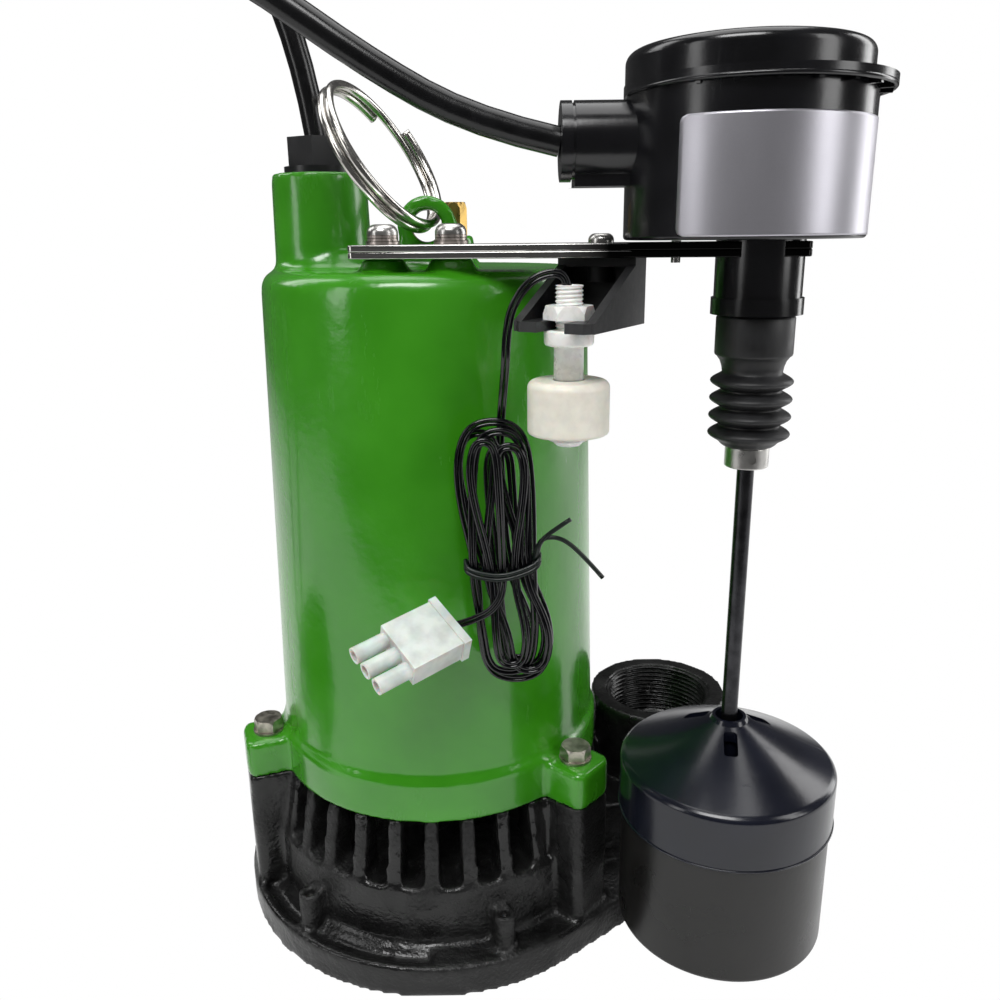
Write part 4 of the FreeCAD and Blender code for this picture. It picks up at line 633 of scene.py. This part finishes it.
# The strap of two stainless strips, with a painted dark reflection of the black switch case towards the
# switch, its domed screws with stacked washers, whose joints carry painted shade, and the screws below the
# switch.
strap_turn = math.radians(-11.5)
painted_reflection_from, painted_reflection_to = 0.062, 0.078
strap, tree, shader = start_material("strap_steel", (0.56, 0.55, 0.53), 0.22, metal=1.0)
here = object_place(tree)
along = tree.nodes.new("ShaderNodeMapping")
along.inputs["Rotation"].default_value = (0, 0, -strap_turn)
tree.links.new(here, along.inputs["Vector"])
drawn = tree.nodes.new("ShaderNodeMapping")
drawn.inputs["Scale"].default_value = (12, 900, 900)
tree.links.new(along.outputs[0], drawn.inputs["Vector"])
hair = noise(tree, drawn.outputs[0], scale=1, detail=3)
rubbed = use_group(tree, marks, Size=120.0, Amount=0.6)
bare = tint(tree, shader, hair.outputs["Fac"], (0.48, 0.47, 0.45), (0.64, 0.63, 0.61))
# Painted reflection: towards the switch the steel's colour runs to near black, standing in for the black case
# mirrored in it.
painted_reflection_share = spread(tree, axis_of(tree, along.outputs[0], "X"), painted_reflection_from, painted_reflection_to)
painted_reflection_mix = tree.nodes.new("ShaderNodeMix")
painted_reflection_mix.data_type = "RGBA"
tree.links.new(painted_reflection_share, painted_reflection_mix.inputs["Factor"])
tree.links.new(bare.outputs["Result"], painted_reflection_mix.inputs["A"])
painted_reflection_mix.inputs["B"].default_value = (0.012, 0.012, 0.012, 1)
tree.links.new(painted_reflection_mix.outputs["Result"], shader.inputs["Base Color"])
drawn_rough = spread(tree, hair.outputs["Fac"], 0.3, 0.7, 0.08, 0.2)
rubbed_rough = number(tree, "MULTIPLY", rubbed.outputs["Mark"], 0.2)
tree.links.new(number(tree, "ADD", drawn_rough, rubbed_rough), shader.inputs["Roughness"])
raise_surface(tree, shader, hair.outputs["Fac"], 0.00002)
give("strap_lower", strap)
give("strap_upper", strap)
for name in ("strap_screws", "bracket_screw", "switch_clamp_screws"):
    give(name, stainless)
washer_steel, tree, shader = start_material("washer_steel", (0.40, 0.36, 0.33), 0.35, metal=1.0)
here = object_place(tree)
washer_up = axis_of(tree, here, "Z")
washer_low, washer_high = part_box("strap_washers")[0].z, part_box("strap_washers")[1].z
stack_share = spread(tree, washer_up, washer_low, washer_high)
washers_in_stack = 3
# Painted shade: the steel turns near black at each joint of the stacked washers, where shade falls in the
# gaps.
washer_gap_shade = number(tree, "SINE", number(tree, "MULTIPLY", stack_share, washers_in_stack * math.pi))
washer_gap_shade = number(tree, "ABSOLUTE", washer_gap_shade)
tint(tree, shader, spread(tree, washer_gap_shade, 0.05, 0.5), (0.03, 0.025, 0.02), (0.44, 0.39, 0.36))
stains = noise(tree, here, scale=700, detail=3)
tree.links.new(spread(tree, stains.outputs["Fac"], 0.3, 0.7, 0.25, 0.5), shader.inputs["Roughness"])
give("strap_washers", washer_steel)

# The alarm bracket. Black plastic printed in flat layers, so its walls show fine level lines.
printed, tree, shader = start_material("bracket_plastic", (0.013, 0.013, 0.014), 0.42)
here = object_place(tree)
layer_height = 0.0003
lines = number(tree, "SINE", number(tree, "MULTIPLY", axis_of(tree, here, "Z"), 2 * math.pi / layer_height))
wander = noise(tree, here, scale=500)
ridges = number(tree, "ADD", number(tree, "MULTIPLY", lines, 0.5), wander.outputs["Fac"])
tint(tree, shader, spread(tree, ridges, -0.2, 1.2), (0.004, 0.004, 0.005), (0.012, 0.012, 0.013))
tree.links.new(spread(tree, ridges, 0, 1, 0.34, 0.5), shader.inputs["Roughness"])
raise_surface(tree, shader, ridges, 0.00009)
give("alarm_bracket", printed)

# The alarm switch. Moulded white nylon stem with a cut thread, its nut and clip, and a small milky float
# that slides on the stem and lifts a magnet past the reed contact.
nylon = plain_finish("white_nylon", (0.90, 0.90, 0.87), 0.28, coarse=300, fine=1500, tone=0.04)
let_light_in(nylon, 0.15, 0.003)
foam = plain_finish("milky_foam", (0.80, 0.77, 0.68), 0.4, coarse=220, fine=2200, depth=0.00006, tone=0.05)
let_light_in(foam, 0.25, 0.004)
low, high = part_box("alarm_stem")
stem_x, stem_y = (low.x + high.x) / 2, (low.y + high.y) / 2
collar_top = 0.25745
stem_root, stem_crest, stem_pitch = 0.0040, 0.00454, 0.0013
thread_top = 0.2712
stem_cut = thread_cut(stem_root, stem_crest, stem_pitch)
thread_rows = [(stem_crest, collar_top + 0.0002 + 0.0137 * i / 60) for i in range(61)]
stem_outline = [
    (0.0, 0.2196), (0.0040, 0.2196), (0.00485, 0.2204), (0.00485, 0.25245), (0.0071, 0.25245),
    (0.0077, 0.2527), (0.0081, 0.2534), (0.0081, 0.2568), (0.0079, collar_top), (0.0046, collar_top),
    *thread_rows,
    (0.0041, 0.2715), (0.0027, 0.2715), (0.0027, 0.2655), (0.00215, 0.2655), (0.00215, 0.2276), (0.0, 0.2276),
]
stem = lathe("alarm_stem_moulded", stem_outline, stem_x, stem_y, nylon, steps=64,
             shape=lambda r, z, a: stem_cut(r, z, a) if r == stem_crest and z < thread_top else r)
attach(stem, "pump")
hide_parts("alarm_stem")
give("alarm_nut", nylon)
give("alarm_clip", nylon)
give("alarm_float", foam)
give("float_magnet", plain_finish("magnet", (0.09, 0.09, 0.1), 0.4, metal=1.0))
glass, tree, shader = start_material("glass_reed", (0.72, 0.82, 0.76), 0.08)
shader.inputs["Transmission Weight"].default_value = 0.9
smear = noise(tree, object_place(tree), scale=600)
tree.links.new(spread(tree, smear.outputs["Fac"], 0.3, 0.7, 0.04, 0.14), shader.inputs["Roughness"])
give("reed_switch", glass)

# The alarm lead. Two thin black wires side by side, out of the stem, down behind the hank,
# six loops tied at the waist, and on to a white three way connector.
lead_wide = 0.003
waist_x, waist_z, upper_z, lower_z = 29.2, 173.0, 208.0, 149.0
back_layer, front_layer = -74.0, -77.6
corner = 0.8


def hank_controls(y, half, upper, lower):
    """One loop of the hank, with its layer and half width at the waist.

    upper and lower give its centre, half width, end and layer above and below the waist.
    """
    top_x, u, top, top_y = upper
    low_x, v, low, low_y = lower
    top_corner = upper_z + (top - upper_z) * corner
    low_corner = lower_z + (low - lower_z) * corner
    return [
        (waist_x + half, y, waist_z), (low_x + v, low_y, lower_z + 3),
        (low_x + v * corner, low_y, low_corner), (low_x, low_y, low), (low_x - v * corner, low_y, low_corner),
        (low_x - v, low_y, lower_z + 3), (waist_x - half, y, waist_z),
        (top_x - u, top_y, upper_z - 3), (top_x - u * corner, top_y, top_corner),
        (top_x, top_y, top), (top_x + u * corner, top_y, top_corner), (top_x + u, top_y, upper_z - 3),
    ]


x, y, top = stem_x * 1000, stem_y * 1000, 272.5
lead_points = [
    (x, y, top - 11), (x, y, top), (x - 4.2, y, top + 3.4), (x - 12.5, y, top + 0.8),
    (x - 18.5, y, top - 7.5), (31.4, -79.4, 256.0), (31.0, -78.8, 246.0), (30.0, -70.5, 234.0),
    (29.0, -70.5, 222.0), (29.0, -70.5, 208.0),
]
for y, half, above, below in [
    (back_layer, 1.8, (28.6, 4.4, 217.5, -72.6), (34.6, 5.4, 137.5, -72.6)),
    (back_layer, 5.3, (21.4, 7.4, 223.5, -74.2), (36.6, 8.6, 134.6, -74.2)),
    (back_layer, 8.8, (26.6, 13.1, 227.8, -75.8), (33.9, 13.0, 130.4, -75.8)),
    (front_layer, 10.6, (28.6, 9.4, 224.6, -77.4), (31.4, 9.6, 134.2, -77.4)),
    (front_layer, 6.9, (31.8, 5.6, 219.5, -79.0), (38.6, 7.6, 135.4, -79.0)),
    (front_layer, 3.2, (23.4, 5.0, 221.6, -80.6), (32.2, 5.6, 138.6, -80.6)),
]:
    lead_points += hank_controls(y, half, above, below)
lead_points += [
    (29.4, -77.6, 173), (29.3, -79.4, 169.5), (28.2, -81.6, 164.2), (22.5, -81.9, 158.3),
    (12.0, -80.5, 154.7),
]
lead_points = [tuple(c / 1000 for c in spot) for spot in lead_points]
lead_skin = plain_finish("lead_jacket", (0.002, 0.002, 0.003), 0.13, coarse=400, fine=2500, depth=0.00002,
                         tone=0.3)


def spline_line(points, resolution):
    """Points along the smooth spline that has these control points."""
    route = nurbs("route", points, 0.0, lead_skin, resolution=resolution)
    flat = bpy.data.meshes.new_from_object(route.evaluated_get(bpy.context.evaluated_depsgraph_get()))
    line = [v.co.copy() for v in flat.vertices]
    bpy.data.objects.remove(route)
    bpy.data.meshes.remove(flat)
    return line


lead_line = spline_line(lead_points, 6)
tangents = headings(lead_line)
half_gap = lead_wide / 4
sideways = [tangent.cross(Vector((0, 1, 0))).normalized() * half_gap for tangent in tangents]
wire_lines = [[spot + side * way for spot, side in zip(lead_line, sideways)] for way in (-1, 1)]
wires = round_wires("alarm_wires", wire_lines, half_gap * 0.98, 8, lead_skin)

# The twist tie. Two turns of thin coated wire round the hank's waist, and its two free tails.
tie_plastic = plain_finish("tie_plastic", (0.002, 0.006, 0.004), 0.3, specular=0.35)
tie_radius = 0.0008
band_middle = Vector((29.3, -75.8, 173.4))
band_half, band_deep = 12.9, 4.4
band_steps = 44


def band_loop(drop):
    """One turn of the tie round the hank, lowest in front, drop below the first one."""
    loop = []
    for i in range(band_steps + 1):
        angle = math.radians(-20 - 360 * i / band_steps)
        along_x, along_y = math.cos(angle), math.sin(angle)
        bulge = (abs(along_x) ** 4 + abs(along_y) ** 4) ** 0.25
        sag = 5.0 * along_x**2 + 1.2 * along_x - drop
        spot = band_middle + Vector((band_half * along_x / bulge, band_deep * along_y / bulge, sag))
        loop.append(spot / 1000)
    return loop


tails = [
    [(40.4, -77.5, 178.0), (41.6, -79.4, 181.5), (42.2, -79.6, 185.0), (45.6, -79.8, 188.6),
     (52.8, -79.8, 193.4)],
    [(40.4, -77.2, 179.0), (41.4, -79.0, 183.6), (43.6, -79.4, 186.8), (49.6, -79.6, 186.8),
     (56.4, -79.6, 181.2), (64.2, -79.6, 171.8)],
]
tie_lines = [band_loop(0.0), band_loop(1.7)]
tie_lines += [spline_line([Vector(spot) / 1000 for spot in tail], 6) for tail in tails]
tie = round_wires("tie_wire", tie_lines, tie_radius, 8, tie_plastic)
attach(tie, "pump")
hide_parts("twist_tie")
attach(wires, "pump")
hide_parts("alarm_lead")

# The three way connector. Milky nylon that lets light in.
clear_nylon = plain_finish("connector_nylon", (0.60, 0.64, 0.61), 0.2, coarse=160, fine=900, tone=0.12)
let_light_in(clear_nylon, 0.5, 0.006)
give("connector", clear_nylon)

# The float switch. Black moulded case and cap with a bare foil label round its front, a stub tube that
# grips the strap with its lock ring, and a ribbed rubber boot that stretches as the rod moves.
case_plastic = plain_finish("switch_plastic", (0.005, 0.005, 0.006), 0.2, coarse=60, fine=700, depth=0.00003)
for name in ("switch_case", "switch_cap", "switch_tube", "lock_ring"):
    give(name, case_plastic)
give("outlet_grommet", rubber)
case_axis = (0.108, -0.0688)

# The bead and the short ribs under the cap's lip, which sits a little off the case's axis.
lip_shift, lip_reach, lip_low = 0.0021, 0.0410, 0.3288
lip_ribs, rib_start = 22, 0.0374
rib_wide, rib_tall = 0.0015, 0.0020
bead_profile = [
    (lip_reach - 0.0014, lip_low + 0.0001), (lip_reach, lip_low + 0.0001), (lip_reach, lip_low - 0.0007),
    (lip_reach - 0.0003, lip_low - 0.0011), (lip_reach - 0.0009, lip_low - 0.0012),
    (lip_reach - 0.0014, lip_low - 0.0009),
]
lip_bead = lathe("lip_bead", bead_profile, case_axis[0] + lip_shift, case_axis[1], case_plastic, steps=180)
ribbed = bmesh.new()
ribbed.from_mesh(lip_bead.data)
for step in range(lip_ribs):
    angle = 2 * math.pi * (step + 0.3) / lip_ribs
    to_bead = math.sqrt((lip_reach - 0.001) ** 2 - (lip_shift * math.sin(angle)) ** 2)
    rib_end = lip_shift * math.cos(angle) + to_bead
    rib_turn = Matrix.Translation((*case_axis, lip_low - 0.0008)) @ Matrix.Rotation(angle, 4, "Z")
    rib_out = Matrix.Translation(((rib_end + rib_start) / 2, 0, 0))
    rib_size = Matrix.Diagonal((rib_end - rib_start, rib_wide, rib_tall, 1))
    bmesh.ops.create_cube(ribbed, size=1, matrix=rib_turn @ rib_out @ rib_size)
ribbed.to_mesh(lip_bead.data)
ribbed.free()
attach(lip_bead, "pump")

# The bare foil label, a thin bent sheet with round corners that stands just off the case.
foil, tree, shader = start_material("foil_label", (0.46, 0.45, 0.49), 0.36, metal=0.9)
surface = use_group(tree, skin, Coarse=40.0, Fine=2600.0, Mix=0.7)
tint(tree, shader, surface.outputs["Height"], (0.43, 0.42, 0.46), (0.50, 0.49, 0.53))
tree.links.new(spread(tree, surface.outputs["Height"], 0.3, 0.7, 0.34, 0.44), shader.inputs["Roughness"])
raise_surface(tree, shader, surface.outputs["Height"], 0.00002)
label_radius, label_thick = 0.03825, 0.0004
label_low, label_high = 0.2858, 0.3193
label_start, label_end = math.radians(-134), math.radians(-4)
label_corner = 0.0024
label_columns, label_levels = 64, 48


def label_row(radius, level):
    """One level row of the label's corners, drawn in where the sheet's corners are round."""
    z = label_low + (label_high - label_low) * level / label_levels
    from_edge = min(z - label_low, label_high - z)
    pull = 0.0
    if from_edge < label_corner:
        pull = label_corner - math.sqrt(label_corner**2 - (label_corner - from_edge) ** 2)
    start = label_start + pull / label_radius
    end = label_end - pull / label_radius
    angles = [start + (end - start) * column / label_columns for column in range(label_columns + 1)]
    return [(case_axis[0] + radius * math.cos(a), case_axis[1] + radius * math.sin(a), z) for a in angles]


verts = []
for radius in (label_radius, label_radius - label_thick):
    for level in range(label_levels + 1):
        verts += label_row(radius, level)
across = label_columns + 1
sheet_size = across * (label_levels + 1)
faces = []
for level in range(label_levels):
    for column in range(label_columns):
        a = level * across + column
        b = a + across
        faces.append((a, a + 1, b + 1, b))
        faces.append((sheet_size + b, sheet_size + b + 1, sheet_size + a + 1, sheet_size + a))
edge = list(range(across))
edge += [(level + 1) * across - 1 for level in range(1, label_levels + 1)]
edge += [label_levels * across + column for column in range(label_columns - 1, -1, -1)]
edge += [level * across for level in range(label_levels - 1, 0, -1)]
for a, b in zip(edge, edge[1:] + edge[:1]):
    faces.append((b, a, a + sheet_size, b + sheet_size))
mesh = bpy.data.meshes.new("foil_label")
mesh.from_pydata(verts, [], faces)
mesh.materials.append(foil)
for face in mesh.polygons:
    face.use_smooth = face.index < 2 * label_columns * label_levels
label = place("foil_label", mesh)
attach(label, "pump")

# The rubber boot. A smooth cuff on the tube and four soft ribs that narrow to the rod's collar.
switch_axis = (0.1146, -0.0688)
boot_rubber = plain_finish("boot_rubber", (0.007, 0.007, 0.008), 0.5, coarse=150, fine=1300, depth=0.00005,
                           tone=0.35)
boot_top, boot_rings_top, boot_rings_low = 0.2607, 0.2416, 0.2176
boot_ribs, steps_per_rib = 4, 12
rib_rise = (boot_rings_top - boot_rings_low) / boot_ribs
outside = [(0.0118, boot_top), (0.0125, boot_top - 0.0003), (0.0129, boot_top - 0.001), (0.0129, 0.2480),
           (0.0127, 0.2474), (0.0121, 0.2470), (0.0110, 0.2455), (0.0103, 0.2435)]
for i in range(boot_ribs * steps_per_rib + 1):
    swing = 0.5 - 0.5 * math.cos(2 * math.pi * i / steps_per_rib)
    outside.append((0.0100 + 0.0038 * swing**0.7, boot_rings_top - rib_rise * i / steps_per_rib))
outside += [(0.0094, 0.2169), (0.0086, 0.2163), (0.0031, 0.2162)]
inside = [(0.0031, 0.2176), (0.0082, 0.2178)]
for i in range(boot_ribs * steps_per_rib, -1, -1):
    swing = 0.5 - 0.5 * math.cos(2 * math.pi * i / steps_per_rib)
    inside.append((0.0083 + 0.0036 * swing, boot_rings_top - rib_rise * i / steps_per_rib))
inside += [(0.0101, 0.2500), (0.0101, boot_top)]
boot = lathe("boot_moulded", outside + inside, *switch_axis, boot_rubber, steps=96)
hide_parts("boot")
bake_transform(boot)

# Push rod, its collar and stop. The rod has a near-black steel colour, the collar bright with a set screw.
dark_rod = plain_finish("dark_rod", (0.035, 0.035, 0.038), 0.24, metal=0.9, coarse=200, tone=0.3, wear=0.9)
give("push_rod", dark_rod)
give("rod_collar", stainless)
give("rod_stop", stainless)

# The main float. A smooth blue-black moulded cone cap seated on a cup, both glossy, with a bead at the seam.
cap_plastic = plain_finish("float_cap_plastic", (0.005, 0.006, 0.012), 0.2, coarse=36, fine=500)
cup_plastic = plain_finish("float_cup_plastic", (0.007, 0.0065, 0.006), 0.3, coarse=36, fine=500,
                           depth=0.00005, specular=0.42)
give("float_cap", cap_plastic)
give("float_cup", cup_plastic)
seam_z, skirt_radius = 0.0727, 0.04036
seam_profile = [
    (skirt_radius - 0.0006, seam_z + 0.0002), (skirt_radius + 0.0002, seam_z + 0.0004),
    (skirt_radius + 0.00045, seam_z + 0.0001), (skirt_radius + 0.0003, seam_z - 0.0004),
    (skirt_radius - 0.0006, seam_z - 0.0005),
]
seam_bead = lathe("float_seam", seam_profile, *switch_axis, cap_plastic, steps=160)
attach(seam_bead, "main_float")

# Inside the switch case. A snap switch box and the lever that the rod pushes.
give("snap_switch", plain_finish("switch_box", (0.03, 0.03, 0.032), 0.45))
give("switch_lever", stainless)

# Inside the motor. Core stacks of thin steel sheets, copper windings, shaft, bearings, seal and impeller.
laminated, tree, shader = start_material("laminations", (0.26, 0.26, 0.27), 0.4, metal=1.0)
here = object_place(tree)
sheet_thick = 0.0006
stack = number(tree, "SINE", number(tree, "MULTIPLY", axis_of(tree, here, "Z"), 2 * math.pi / sheet_thick))
tint(tree, shader, spread(tree, stack, -1, 1), (0.16, 0.16, 0.17), (0.34, 0.34, 0.35))
raise_surface(tree, shader, stack, 0.00006)
give("stator_core", laminated)
give("rotor_core", laminated)
copper, tree, shader = start_material("copper", (0.52, 0.22, 0.08), 0.32, metal=1.0)
here = object_place(tree)
strands = noise(tree, here, scale=420, detail=4)
tint(tree, shader, strands.outputs["Fac"], (0.34, 0.13, 0.05), (0.62, 0.28, 0.11))
raise_surface(tree, shader, strands.outputs["Fac"], 0.0006)
give("stator_windings", copper)
turned_steel = plain_finish("bearing_steel", (0.58, 0.58, 0.58), 0.2, metal=1.0, coarse=300, tone=0.1)
for name in ("shaft", "upper_bearing", "lower_bearing", "seal_spring", "impeller_nut"):
    give(name, turned_steel)
give("seal_plate", plain_finish("machined_iron", (0.20, 0.20, 0.20), 0.42, metal=1.0, tone=0.2))
give("seal_plate_o_ring", rubber)
give("seal_seat", plain_finish("ceramic", (0.74, 0.72, 0.66), 0.25, tone=0.05))
give("seal_ring", plain_finish("carbon", (0.03, 0.03, 0.03), 0.4, tone=0.2))
give("impeller", plain_finish("impeller_plastic", (0.05, 0.05, 0.05), 0.45, tone=0.2))
